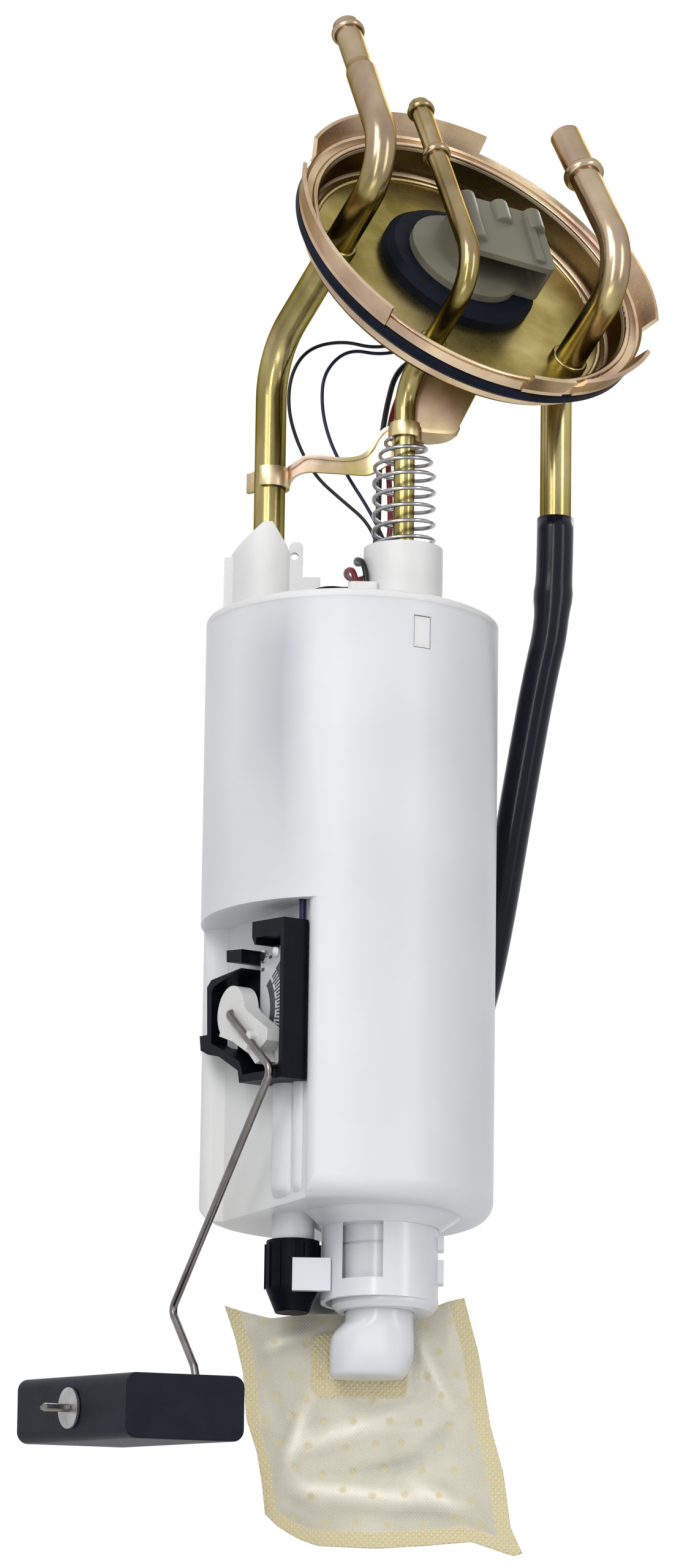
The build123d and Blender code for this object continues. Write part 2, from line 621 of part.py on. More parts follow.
def return_tube():
    points, hole = tube_run(
        RETURN_AT, RETURN_KNEE_DROP, HOSE_END_Z, RETURN_RISE, RETURN_TURN, RETURN_NIPPLE)
    way = nipple_direction(RETURN_TURN)
    tube = bent_tube(points, [RETURN_KNEE_BEND, TOP_BEND], TUBE_RADIUS, TUBE_WALL)
    stop = bead(points[-1] - way * RETURN_RING_BACK, way, TUBE_RADIUS, RING_RISE)
    return tube + stop + weld(hole, TUBE_RADIUS)


def clip_ring(at, radius, levels, opening):
    """Open clip round a vertical tube; opening is the angle its gap faces."""
    low, high = levels
    clip = ring(radius + FIT + CLIP_WALL, radius + FIT, low, high)
    gap = sector(opening - CLIP_OPENING, opening + CLIP_OPENING, 4 * radius, low - 1, high + 1)
    return Pos(at[0], at[1], 0) * (clip - gap)


def support_bracket():
    """Pressed strap that ties the tubes together and is welded under the pan."""
    feed_low, feed_high = FEED_CLIP_Z
    vent_low, vent_high = VENT_CLIP_Z
    feed_clip = clip_ring(FEED_AT, TUBE_RADIUS, FEED_CLIP_Z, 180)
    vent_clip = clip_ring(VENT_AT, VENT_RADIUS, VENT_CLIP_Z, -60)
    ear = block(FEED_AT[0] - 10.0, FEED_AT[0] - TUBE_RADIUS + 1.3, FEED_AT[1] - 4.6, FEED_AT[1] - 3.4,
                feed_low + 0.6, feed_high - 0.6)
    start_x, start_y = FEED_AT[0] + TUBE_RADIUS + 0.9, FEED_AT[1] - 2.0
    end_x, end_y = VENT_AT[0] - VENT_RADIUS - 0.9, VENT_AT[1] + 1.0
    side = prism([(start_x, start_y), (start_x + 9, start_y - 5.5), (end_x - 12, end_y + 5.5), (end_x, end_y),
                  (end_x, end_y + STRAP), (end_x - 12, end_y + 5.5 + STRAP),
                  (start_x + 9, start_y - 5.5 + STRAP), (start_x, start_y + STRAP)], feed_low, vent_high)
    normal = Plane.XZ
    trim = Polyline((start_x - 1, feed_high), (start_x + 10, feed_high + 0.4), (end_x - 8, feed_high + 2.0),
                    (end_x + 1, vent_high + 2), (start_x - 1, vent_high + 2), close=True)
    side -= extrude(normal * make_face(trim), REACH, both=True)
    under = Polyline((start_x + 9, feed_low - 1), (end_x + 1, feed_low - 1), (end_x + 1, vent_low),
                     (end_x - 5, vent_low), (end_x - 11, feed_low + 2.2), (start_x + 9, feed_low), close=True)
    side -= extrude(normal * make_face(under), REACH, both=True)
    wing_x = VENT_AT[0] + VENT_RADIUS + 0.9
    wing = block(wing_x, wing_x + 12.0, VENT_AT[1] - STRAP / 2, VENT_AT[1] + STRAP / 2, vent_low,
                 RES_HEIGHT + WING_RISE)
    slope = Plane(origin=FLANGE.origin + FLANGE.z_dir * PAN_UNDER, z_dir=FLANGE.z_dir)
    below_pan = Location(slope) * Pos(0, 0, -REACH) * Box(6 * REACH, 6 * REACH, 2 * REACH)
    wing = in_reservoir(wing) & below_pan
    pad_centre = wing.faces().sort_by(Axis.Z)[-1].center()
    pad = Location(Plane(origin=pad_centre, x_dir=FLANGE.x_dir, z_dir=FLANGE.z_dir)) * Pos(4, -4.6, -STRAP / 2)
    pad = (pad * Box(17, 9, STRAP)) & below_pan
    hole = knee(VENT_AT, VENT_KNEE_DROP)[1]
    leg = Location(Plane(origin=hole, z_dir=FLANGE.z_dir)) * Cylinder(VENT_RADIUS + 1.0, 60)
    strap = in_reservoir(feed_clip + vent_clip + ear + side)
    return strap + ((wing + pad) - leg)


# ================================================================ guide spring
def guide_spring():
    """Compression spring on the vent tube: even coils, then a few that narrow towards the bracket."""
    half = SPRING_WIRE / 2
    low = RES.Z + COLLAR_SEAT + half + GAP
    high = RES.Z + VENT_CLIP_Z[0] - half - GAP
    x, y = RES.X + VENT_AT[0], RES.Y + VENT_AT[1]
    straight = high - low - SPRING_CONE
    body = Helix(pitch=SPRING_PITCH, height=straight, radius=SPRING_RADIUS, center=(x, y, low))
    steps = round(SPRING_CONE / SPRING_CONE_PITCH * SPRING_STEPS)
    cone = []
    for step in range(steps + 1):
        share = step / steps
        angle = 360 * (straight / SPRING_PITCH + share * SPRING_CONE / SPRING_CONE_PITCH)
        c, s = polar(angle)
        radius = SPRING_RADIUS + share * (SPRING_NECK - SPRING_RADIUS)
        cone.append((x + radius * c, y + radius * s, low + straight + share * SPRING_CONE))
    return Compound([swept(body, half), swept(Spline(*cone), half)])


# ================================================================ reservoir
def notch_outline(grow=0.0):
    """Plan of the notch in the reservoir's side, grown by a wall."""
    out = Vector(SENDER_OUT.X, SENDER_OUT.Y, 0)
    along = Vector(-out.Y, out.X, 0)
    wall = SENDER_WALL - grow
    lobe_x, back_y = NOTCH_LOBE_X + grow, NOTCH_BACK_Y + grow
    at_lobe = (lobe_x - out.X * wall) / along.X
    front = out * wall + along * at_lobe
    at_back = (back_y - out.Y * wall) / along.Y
    back = out * wall + along * at_back
    far = RES_RADIUS * 1.6
    return [(lobe_x, -far), (front.X, front.Y), (back.X, back.Y), (-far, back_y), (-far, -far)]


def lobed_plan(radius, grow):
    plan = Circle(radius) - make_face(Polyline(*notch_outline(grow), close=True))
    corners = [v for v in plan.vertices() if math.hypot(v.X, v.Y) > radius - 0.01]
    return fillet(corners, NOTCH_CORNER - min(grow, NOTCH_CORNER - 1.0))


def rounded_can(radius, low, high, corner):
    """Solid can with a rounded bottom edge."""
    can = rod(radius, low, high)
    return fillet(can.edges().filter_by(GeomType.CIRCLE).sort_by(Axis.Z)[:1], corner)


def reservoir_shell():
    top = RES_HEIGHT - LID_THICK
    inside = RES_RADIUS - RES_WALL
    outer = extrude(lobed_plan(RES_RADIUS, 0.0), NOTCH_HEIGHT) + rod(RES_RADIUS, NOTCH_HEIGHT, top)
    outer = outer & rounded_can(RES_RADIUS, 0, top, RES_CORNER)
    cavity = extrude(lobed_plan(inside, RES_WALL), NOTCH_HEIGHT + RES_WALL)
    cavity += rod(inside, NOTCH_HEIGHT + RES_WALL, top + 1)
    cavity = cavity & rounded_can(inside, RES_FLOOR, top + 1, RES_CORNER - RES_WALL)
    shell = outer - cavity
    shell -= rod(PUMP_RADIUS - 4.0, -1, RES_FLOOR + 1, *PUMP_AT)
    shell -= rod(NIPPLE_BORE, -1, RES_FLOOR + 1, *ELBOW_AT)
    shell -= rod(LEAD_HOLE, NOTCH_HEIGHT - 1, NOTCH_HEIGHT + RES_WALL + 1, *LEAD_AT)
    shell += ring(NIPPLE_RADIUS, NIPPLE_BORE, -NIPPLE_DROP, 0.5, *ELBOW_AT)
    window_top = top - SNAP_DROP
    for place in snap_places():
        shell -= place * block(inside - 2, RES_RADIUS + 2, -SNAP_WIDTH / 2, SNAP_WIDTH / 2,
                               window_top - SNAP_TALL, window_top)
    return in_reservoir(shell)


# ---------------------------------------------------------------- lid
def snap_places():
    return [Rot(0, 0, angle) for angle in SNAP_ANGLES]


def reservoir_lid():
    under = RES_HEIGHT - LID_THICK
    inside = RES_RADIUS - RES_WALL
    lid = rod(RES_RADIUS, under, RES_HEIGHT)
    lid = fillet(lid.edges().filter_by(GeomType.CIRCLE).sort_by(Axis.Z)[-1:], 1.0)
    lid += ring(inside - FIT, inside - FIT - LID_SKIRT_WALL, under - LID_SKIRT, under)
    for place in snap_places():
        tab = block(inside - 1.0, RES_RADIUS - GAP, -SNAP_WIDTH / 2 + GAP, SNAP_WIDTH / 2 - GAP,
                    under - SNAP_DROP - SNAP_TALL + GAP, under - SNAP_DROP - GAP)
        lid += place * tab
    vx, vy = VENT_AT
    lid += rod(COLLAR_RADIUS, under, COLLAR_TOP, vx, vy)
    lid -= rod(COLLAR_BORE, COLLAR_SEAT, COLLAR_TOP + 1, vx, vy)
    lid -= rod(COLLAR_BORE, under - 1, COLLAR_SEAT - LID_THICK, vx, vy)
    lid -= rod(VENT_RADIUS + BUSH_WALL + FIT, under, COLLAR_SEAT + 1, vx, vy)
    fx, fy = FEED_AT
    low, high = under, GUIDE_TOP
    tower = rod(GUIDE_RADIUS, low, high + 1, fx, fy)
    crown = Polyline(
        (fx - 14, low - 1), (fx - 14, high - 10.0), (fx - 11.2, high - 8.6), (fx - 1.4, high), (fx + 1.2, high),
        (fx + 5.6, high - 7.2), (fx + 11.9, high - 20.6), (fx + 14, high - 24), (fx + 14, low - 1), close=True)
    tower = tower & extrude(Plane.XZ * make_face(crown), REACH, both=True)
    lid += tower
    lid += block(fx - GUIDE_RADIUS - 2.0, fx - GUIDE_RADIUS + 1.0, fy - 4.0, fy - 1.0, under, high - 9.6)
    loop = block(fx + 6.4, fx + 10.6, fy - 9.4, fy - 7.0, under, high - 6.0)
    loop = fillet(loop.edges().filter_by(Axis.Y).sort_by(Axis.Z)[-2:], 1.8)
    lid += loop
    lid += block(fx + 9.6, fx + 16.0, fy - 9.4, fy - 7.0, under, high - 17.0)
    lid -= Pos(fx + 8.0, fy - 8, high - 10.4) * Rot(90, 0, 0) * Cylinder(1.2, 6)
    lid -= rod(GUIDE_RADIUS - 2.0, GUIDE_FLOOR, high + 1, fx, fy)
    lid -= rod(GUIDE_RADIUS - 2.0, under - 1, GUIDE_FLOOR - LID_THICK, fx, fy)
    lid -= rod(TUBE_RADIUS + BUSH_WALL + FIT, under, GUIDE_FLOOR + 1, fx, fy)
    port = block(*PORT, under, RES_HEIGHT + PORT_RISE)
    lid += fillet(port.edges().filter_by(Axis.Z), 1.6)
    for x, y in WIRE_HOLES:
        lid -= rod(WIRE_HOLE, under - 1, RES_HEIGHT + PORT_RISE + 1, x, y)
    return in_reservoir(lid)


def bush(at, radius, seat):
    """Flanged bush in the floor of a guide."""
    outer = radius + BUSH_WALL
    sleeve = ring(outer, radius + FIT, seat - LID_THICK, seat)
    flange = ring(outer + 1.4, radius + FIT, seat, seat + 1.2)
    return in_reservoir(Pos(at[0], at[1], 0) * (sleeve + flange))


def vent_tube_bush():
    outer = VENT_RADIUS + BUSH_WALL
    sleeve = ring(outer, VENT_RADIUS + FIT, COLLAR_SEAT - LID_THICK - 1.0, COLLAR_SEAT + 1.0)
    return in_reservoir(Pos(*VENT_AT, 0) * sleeve)


def feed_tube_bush():
    return bush(FEED_AT, TUBE_RADIUS, GUIDE_FLOOR)


def stop_ring():
    """Push-on ring on the feed tube, under its guide: it holds the reservoir from falling off."""
    top = GUIDE_FLOOR - LID_THICK - GAP
    shape = ring(TUBE_RADIUS + 3.2, TUBE_RADIUS + FIT, top - 1.4, top)
    return in_reservoir(Pos(*FEED_AT, 0) * shape)


# ================================================================ pump
def at_pump(shape):
    return in_reservoir(Pos(*PUMP_AT, 0) * shape)


def pump_top():
    return PUMP_BASE + PUMP_LENGTH


def impeller_low():
    return PUMP_BASE + INLET_HEIGHT - IMPELLER_THICK - 0.2


def pump_casing():
    shell = ring(PUMP_RADIUS, PUMP_RADIUS - PUMP_WALL, PUMP_BASE, pump_top())
    low_lip = ring(PUMP_RADIUS - PUMP_WALL, PUMP_RADIUS - PUMP_WALL - 1.6, PUMP_BASE, PUMP_BASE + 1.0)
    high_lip = ring(PUMP_RADIUS - PUMP_WALL, PUMP_RADIUS - PUMP_WALL - 1.6, pump_top() - 1.0, pump_top())
    return at_pump(shell + low_lip + high_lip)


def pump_inlet_cover():
    fit = PUMP_RADIUS - PUMP_WALL - FIT
    top = PUMP_BASE + INLET_HEIGHT
    cover = rod(fit, PUMP_BASE + 1.0, top)
    cover += ring(INLET_RADIUS, INLET_RADIUS - 2.0, INLET_LOW, PUMP_BASE + 1.0)
    cover -= rod(IMPELLER_RADIUS + 0.1, impeller_low() - 0.1, top + 1)
    cover -= rod(SHAFT_RADIUS + FIT, impeller_low() - 2.0, top)
    cover -= rod(3.0, PUMP_BASE - 1, top, INLET_RADIUS - 5.6, 0)
    return at_pump(cover)


def pump_upper_plate():
    fit = PUMP_RADIUS - PUMP_WALL - FIT
    low = PUMP_BASE + INLET_HEIGHT
    plate = rod(fit, low, low + PLATE_THICK)
    plate -= rod(BEARING_RADIUS, low - 1, low + PLATE_THICK + 1)
    plate -= rod(2.0, low - 1, low + PLATE_THICK + 1, -11.5, 0)
    return at_pump(plate)


def bearing_spans():
    low = PUMP_BASE + INLET_HEIGHT
    high = pump_top() - CAP_HEIGHT
    return [(low, low + PLATE_THICK), (high + 1.0, high + 7.0)]


def pump_bearings():
    bearings = [ring(BEARING_RADIUS - 0.01, SHAFT_RADIUS + FIT, low, high) for low, high in bearing_spans()]
    return at_pump(Compound(bearings))


def pump_magnets():
    low = PUMP_BASE + INLET_HEIGHT + PLATE_THICK + 3.0
    high = pump_top() - CAP_HEIGHT - 14.0
    arc = ring(MAGNET_RADIUS, MAGNET_RADIUS - MAGNET_THICK, low, high)
    halves = [arc & sector(start, start + 130, 30, low, high) for start in (25, 205)]
    return at_pump(Compound(halves))


def armature():
    low = PUMP_BASE + INLET_HEIGHT + PLATE_THICK + 5.0
    high = pump_top() - CAP_HEIGHT - 16.0
    core = ring(ARMATURE_RADIUS, SHAFT_RADIUS + 0.01, low, high)
    for index in range(ARMATURE_SLOTS):
        slot = block(ARMATURE_RADIUS - 3.4, ARMATURE_RADIUS + 1, -0.7, 0.7, low - 1, high + 1)
        core -= Rot(0, 0, index * 360 / ARMATURE_SLOTS) * slot
    return at_pump(core)


def commutator():
    high = pump_top() - CAP_HEIGHT - 1.5
    return at_pump(ring(COMMUTATOR_RADIUS, SHAFT_RADIUS + 0.01, high - 12.0, high))


def armature_shaft():
    return at_pump(rod(SHAFT_RADIUS, impeller_low() - 1.4, pump_top() - CAP_HEIGHT + 7.0))


def impeller():
    low = impeller_low()
    wheel = ring(IMPELLER_RADIUS, SHAFT_RADIUS + 0.01, low, low + IMPELLER_THICK)
    for index in range(IMPELLER_VANES):
        pocket = block(IMPELLER_RADIUS - 2.6, IMPELLER_RADIUS - 0.8, -0.7, 0.7,
                       low - 1, low + IMPELLER_THICK + 1)
        wheel -= Rot(0, 0, index * 360 / IMPELLER_VANES) * pocket
    return at_pump(wheel)


def brush_level():
    return pump_top() - CAP_HEIGHT - 5.0


def brush_solids(inner, outer, half):
    level = brush_level()
    bar = block(inner, outer, -half, half, level - half, level + half)
    return [bar, Rot(0, 0, 180) * bar]


def pump_brushes():
    return at_pump(Compound(brush_solids(COMMUTATOR_RADIUS + FIT, BRUSH_OUT, BRUSH_HALF)))


def brush_springs():
    level = brush_level()
    coil = ring(1.5, 0.9, BRUSH_OUT + 0.02, BRUSH_BACK - 0.02)
    lying = Pos(0, 0, level) * Rot(0, 90, 0) * coil
    return at_pump(Compound([lying, Rot(0, 0, 180) * lying]))


def pump_outlet_cap():
    fit = PUMP_RADIUS - PUMP_WALL - FIT
    high = pump_top()
    low = high - CAP_HEIGHT
    cap = rod(fit, low, high - 1.0)
    cap += rod(fit - 1.7, high - 1.0, high + 2.0)
    cap += ring(fit, COMMUTATOR_RADIUS + 1.2, low - 9.0, low)
    for slot in brush_solids(COMMUTATOR_RADIUS, BRUSH_BACK, BRUSH_HALF + 0.05):
        cap -= slot
    cap -= rod(BEARING_RADIUS, low - 1, low + 7.0)
    x = OUTLET_OFFSET
    cap += rod(OUTLET_RADIUS, high, high + OUTLET_HEIGHT, x, 0)
    cap -= rod(VALVE_BORE, high - 4.0, high + OUTLET_HEIGHT - 3.0, x, 0)
    cap -= rod(VALVE_BORE - 1.2, low - 1, high + OUTLET_HEIGHT + 1, x, 0)
    for x, y in PIN_PLACES:
        cap -= block(x - 1.4, x + 1.4, y - 0.4, y + 0.4, high - 3.0, high + 3)
    return at_pump(cap)


def check_valve_ball():
    seat = pump_top() - 4.0
    lift = math.sqrt(BALL_RADIUS ** 2 - (VALVE_BORE - 1.2) ** 2)
    return at_pump(Pos(OUTLET_OFFSET, 0, seat + lift + 0.02) * Sphere(BALL_RADIUS))


def check_valve_spring():
    seat = pump_top() - 4.0
    lift = math.sqrt(BALL_RADIUS ** 2 - (VALVE_BORE - 1.2) ** 2)
    low = seat + lift + BALL_RADIUS * 0.75
    high = pump_top() + OUTLET_HEIGHT - 3.0
    return at_pump(ring(VALVE_BORE - 0.2, VALVE_BORE - 0.75, low, high - 0.02, OUTLET_OFFSET, 0))


def pump_terminals():
    high = pump_top()
    pins = [block(x - 1.4, x + 1.4, y - 0.4, y + 0.4, high - 3.0, high + 9.0) for x, y in PIN_PLACES]
    return at_pump(Compound(pins))


def pump_plug():
    high = pump_top()
    (x0, y0), (_, y1) = PIN_PLACES
    body = block(x0 - 3.4, x0 + 3.4, min(y0, y1) - 3.0, max(y0, y1) + 3.0, high + 2.2, high + 14.0)
    body = fillet(body.edges().filter_by(Axis.Z), 1.2)
    for x, y in PIN_PLACES:
        body -= block(x - 1.45, x + 1.45, y - 0.45, y + 0.45, high + 2, high + 9.1)
    return at_pump(body)


def isolator(low, high):
    return at_pump(ring(PUMP_RADIUS + ISOLATOR, PUMP_RADIUS + 0.01, low, high))


def lower_isolator():
    low = PUMP_BASE + ISOLATOR_UP
    return isolator(low, low + ISOLATOR_BAND)


def upper_isolator():
    return isolator(HOLDER_TOP - ISOLATOR_BAND, HOLDER_TOP)


def pump_holder():
    """Round cradle that carries the pump's rubber sleeves on the reservoir's floor."""
    inner = PUMP_RADIUS + ISOLATOR + 0.01
    holder = ring(inner + HOLDER_WALL, inner, RES_FLOOR, HOLDER_TOP)
    holder += ring(inner, PUMP_RADIUS - 4.0, RES_FLOOR, PUMP_BASE - GAP)
    for angle in (40, 160, 280):
        window = block(inner - 4, inner + 6, -7, 7, 20, HOLDER_TOP - 16)
        holder -= Rot(0, 0, angle) * window
    return at_pump(holder)


# ================================================================ inner pressure hose
def pressure_route():
    px, py = PUMP_AT[0] + OUTLET_OFFSET, PUMP_AT[1]
    fx, fy = FEED_AT
    base = pump_top() + PRESSURE_START
    end = RES_HEIGHT - FEED_IN_TANK + PRESSURE_GRIP
    up, crest, dip, down = [base + share * (end - base) for share in PRESSURE_TURNS]
    return [(px, py, base), (px, py, up), (px - 10.5, py + 6.0, crest), (fx + 9.0, fy - 7.2, dip),
            (fx, fy, down), (fx, fy, end)]


def pressure_hose():
    points = res_points(pressure_route())
    path = FilletPolyline(*points, radius=cord_radii(points))
    solid = swept(path, PRESSURE_HOSE) - swept(path, TUBE_RADIUS - TUBE_WALL - 0.2)
    fx, fy = FEED_AT
    end = RES_HEIGHT - FEED_IN_TANK
    solid -= in_reservoir(rod(TUBE_RADIUS + FIT, end - FIT, end + 10, fx, fy))
    px, py = PUMP_AT[0] + OUTLET_OFFSET, PUMP_AT[1]
    solid -= in_reservoir(rod(OUTLET_RADIUS + FIT, pump_top(), pump_top() + OUTLET_HEIGHT + FIT, px, py))
    return solid


def hose_clamp(x, y, low, inner):
    band = ring(inner + 1.0, inner + FIT, low, low + 5.0)
    screw = Pos(0, inner + 2.4, low + 2.5) * Rot(0, 90, 0) * Cylinder(2.0, 8.0)
    screw -= rod(inner + FIT, low - 5, low + 10)
    return in_reservoir(Pos(x, y, 0) * (band + screw))


def feed_hose_clamp():
    return hose_clamp(*FEED_AT, RES_HEIGHT - FEED_IN_TANK + 2.0, PRESSURE_HOSE)


def pump_hose_clamp():
    return hose_clamp(PUMP_AT[0] + OUTLET_OFFSET, PUMP_AT[1], pump_top() + 6.0, PRESSURE_HOSE)


# ================================================================ wires from the connector to the lid
def tail_ends():
    """Where the four terminals' tails end, and the way they point."""
    low = PAN_UNDER - PLUG_BASE_DROP - BLADE_TAIL - socket_low()
    ends = []
    for x in blade_offsets():
        ends.append((Location(FLANGE) * socket_place() * Pos(x, BLADE_TAIL_Y, low)).position)
    return ends


def spread(route, low, high):
    """Route points whose heights are shares of the way from low to high."""
    return [(x, y, low + share * (high - low)) for x, y, share in route]


def wire_points(index, route):
    """A wire's route: straight out of its terminal, then through points given from the lid's top."""
    end = tail_ends()[index]
    places = [(x, y, RES_HEIGHT + up) for x, y, up in route]
    return [end, end - FLANGE.z_dir * WIRE_START] + res_points(places)


def sender_wire_black():
    return cord("sender_wire_black", wire_points(0, BLACK_THIN_ROUTE), THIN_WIRE)


def sender_wire_blue():
    return cord("sender_wire_blue", wire_points(1, BLUE_THIN_ROUTE), THIN_WIRE)


def pump_wire_black():
    return cord("pump_wire_black", wire_points(2, BLACK_THICK_ROUTE), THICK_WIRE)


def pump_wire_red():
    return cord("pump_wire_red", wire_points(3, RED_THICK_ROUTE), THICK_WIRE)


def pump_leads():
    """The pump's two wires inside the reservoir, from the lid's port to the plug."""
    level = pump_top() + PLUG_TOP
    ends = [(PUMP_AT[0] + x, PUMP_AT[1] + y) for x, y in PIN_PLACES]
    leads = []
    for route, (x, y) in zip(LEAD_ROUTES, ends):
        drop = spread(route, pump_top(), LEAD_TOP)
        points = res_points(drop + [(x, y, level + PLUG_LEAD), (x, y, level)])
        leads.append(cord("pump_leads", points, THICK_WIRE))
    return Compound(leads)


def sender_lead():
    route = spread(SENDER_LEAD_ROUTE, SENDER_LEAD_LOW, LEAD_TOP)
    return cord("sender_lead", res_points(route), LEAD_RADIUS)


# ================================================================ pump retainer, strainer
def pump_retainer():
    """White sleeve under the reservoir that holds the pump's inlet and the strainer's pipe."""
    wide, narrow, cone_height = RETAINER_CONE
    shift, ring_radius, ring_top, ring_low = RETAINER_RING
    outer = RETAINER_RADIUS
    cone = Pos(0, 0, -cone_height / 2) * Cone(narrow, wide, cone_height)
    sleeve = ring(outer, outer - RETAINER_WALL, -RETAINER_DROP, -1.0)
    window = block(RETAINER_WINDOW[0] - PUMP_AT[0], RETAINER_WINDOW[1] - PUMP_AT[0], -outer - 2, 0,
                   -RETAINER_STEP, -cone_height)
    tube = rod(RETAINER_TUBE, -RETAINER_STEP - 1.0, -1.0)
    slot = ring(RETAINER_TUBE + 1, RETAINER_TUBE - 0.6, -9.8, -9.0)
    step = rod(outer - 0.2, -RETAINER_STEP - 1.4, -RETAINER_STEP)
    low = rod(ring_radius, -ring_low, -ring_top, shift, 0)
    low = chamfer(low.edges().filter_by(GeomType.CIRCLE).sort_by(Axis.Z)[:1], 1.6)
    low = low & block(-40, 40, -40, PLATE_BACK - GAP - PUMP_AT[1], -40, 0)
    body = cone + (sleeve - window) + (tube - slot) + step + low
    for top, bottom in ((6.0, 10.0), (13.0, 20.0)):
        body += block(outer - 0.8, outer + 1.6, -3.0, 3.0, -bottom, -top)
    body -= rod(RETAINER_TUBE_BORE, -RETAINER_STEP, 1)
    body -= rod(STRAINER_PIPE + FIT, -40, -RETAINER_STEP + 0.1)
    lug_x = ELBOW_AT[0] - PUMP_AT[0]
    body += block(lug_x, 3.0 - outer, -11.5, -ELBOW_RADIUS - 0.6, -24.0, -14.3)
    body -= rod(ELBOW_RADIUS + GAP, -40, 1, lug_x, ELBOW_AT[1] - PUMP_AT[1])
    return at_pump(body)


def strainer_elbow():
    """Pipe that plugs onto the pump's inlet, turns back and carries the strainer's frame."""
    x0, x1, high, low = STRAINER_PLATE
    px, py = PUMP_AT
    pipe = rod(STRAINER_PIPE, -STRAINER_BALL, -STRAINER_TOP, px, py)
    pipe += Pos(px, py, -STRAINER_BALL) * Sphere(STRAINER_PIPE)
    plate = block(x0, x1, PLATE_BACK - PLATE_WALL, PLATE_BACK, -low, -high)
    plate = fillet(plate.edges().filter_by(Axis.Y), 3.0)
    into_plate = PLATE_BACK - PLATE_WALL / 2
    neck = block(px - 7.0, px + 7.0, py + 4.0, into_plate, -STRAINER_BALL - 7.0, -high - 1.0)
    rib = block(x0 + 2.0, x1 - 2.0, py + 7.0, into_plate, -STRAINER_BALL - 1.0, -STRAINER_BALL + 1.0)
    body = pipe + plate + neck + rib
    body -= rod(INLET_RADIUS + FIT, INLET_LOW - FIT, 0, px, py)
    body -= rod(INLET_RADIUS - 2.0, -STRAINER_BALL, 0, px, py)
    channel = Pos(px, py, -STRAINER_BALL - 1.0) * Rot(-90, 0, 0) * rod(STRAINER_CHANNEL, 0, 20)
    return in_reservoir(body - channel)


def strainer_sock():
    corners = [(x, PLATE_BACK, z) for x, z in SOCK_OUTLINE]
    face = make_face(Polyline(*corners, close=True))
    return in_reservoir(extrude(face, SOCK_THICK, dir=(0, 1, 0)))


# ================================================================ return elbow and hose
def return_elbow():
    """Black elbow pushed onto the reservoir's nipple: ribbed body, jet tip and hose barb."""
    body = rod(ELBOW_BODY, -ELBOW_WAIST, -ELBOW_TOP)
    for index in range(ELBOW_RIBS):
        rib = block(ELBOW_BODY - 1, ELBOW_RADIUS, -0.7, 0.7, -ELBOW_WAIST, -ELBOW_TOP - 1.0)
        body += Rot(0, 0, index * 360 / ELBOW_RIBS) * rib
    tip = ELBOW_TIP - ELBOW_WAIST
    body += Pos(0, 0, -ELBOW_WAIST - tip / 2) * Cone(ELBOW_TIP_RADIUS, ELBOW_BODY, tip)
    stem = rod(BARB_RADIUS, 0, BARB_END)
    for back in (1.0, 4.5, 8.0):
        ridge = Cone(hose_bore() - FIT, BARB_RADIUS, 2.4)
        stem += Pos(0, 0, BARB_END - back - 1.2) * ridge
    lying = Pos(0, 0, -BARB_DROP) * Rot(-90, 0, 0)
    body += lying * stem
    body -= rod(NIPPLE_RADIUS + FIT, -NIPPLE_DROP - FIT, 0)
    body -= rod(BARB_BORE, -ELBOW_WAIST, 0)
    body -= lying * rod(BARB_BORE, 0, BARB_END + 1)
    return in_reservoir(Pos(*ELBOW_AT, 0) * body)


def jet_nozzle():
    """Insert in the reservoir's nipple that turns the returning fuel into a jet."""
    fit = NIPPLE_BORE - FIT
    nozzle = ring(fit, JET_BORE, -NIPPLE_DROP, -NIPPLE_DROP + 6.0)
    cone = Pos(0, 0, -NIPPLE_DROP + 9.0) * Cone(fit, JET_BORE + 0.9, 6.0)
    nozzle += cone - rod(JET_BORE, -NIPPLE_DROP, 0)
    return in_reservoir(Pos(*ELBOW_AT, 0) * nozzle)


def hose_bore():
    return HOSE_RADIUS - HOSE_WALL


def return_hose():
    """Hose pushed over the return tube above and the elbow's barb below."""
    x, y = RETURN_AT
    ex, ey = ELBOW_AT
    barb = ey + BARB_END
    start = [(x, y, HOSE_END_Z + HOSE_GRIP), (x, y, HOSE_END_Z - HOSE_LEAD)]
    end = [(ex, barb + 3.0, -BARB_DROP), (ex, barb - 9.5, -BARB_DROP)]
    return cord("return_hose", res_points(start + RETURN_HOSE_ROUTE + end), HOSE_RADIUS, hose_bore())


# ================================================================ level sender
def level_sender_housing():
    """Black frame clipped to the slanted wall of the reservoir's notch."""
    body = prism(SENDER_OUTLINE, 0, SENDER_THICK)
    body -= block(-60, SENDER_BACKED_FROM, -40, 40, -1, SENDER_STANDOFF)
    body -= prism(SENDER_POCKET, SENDER_FLOOR, SENDER_THICK + 1)
    x0, x1, y0, y1 = CARD
    body -= block(x0 - FIT, x1 + FIT, y0 - FIT, y1 + FIT, SENDER_FLOOR, SENDER_THICK + 1)
    body += rod(PIVOT_BOSS, 0, HUB_LOW - GAP)
    body -= rod(ARM_WIRE + FIT, PIVOT_END - FIT, SENDER_THICK)
    for x, y in RIVETS:
        body -= rod(RIVET_RADIUS + 0.01, -1, SENDER_THICK, x, y)
    beside_lobe = block(NOTCH_LOBE_X - GAP, 60, -80, 80, 0, NOTCH_HEIGHT)
    return on_sender(body) - in_reservoir(beside_lobe)


def resistor_card():
    x0, x1, y0, y1 = CARD
    card = block(x0, x1, y0, y1, SENDER_FLOOR, SENDER_FLOOR + CARD_THICK)
    for x, y in RIVETS:
        card -= rod(RIVET_RADIUS + 0.01, 0, SENDER_THICK, x, y)
    return on_sender(card)


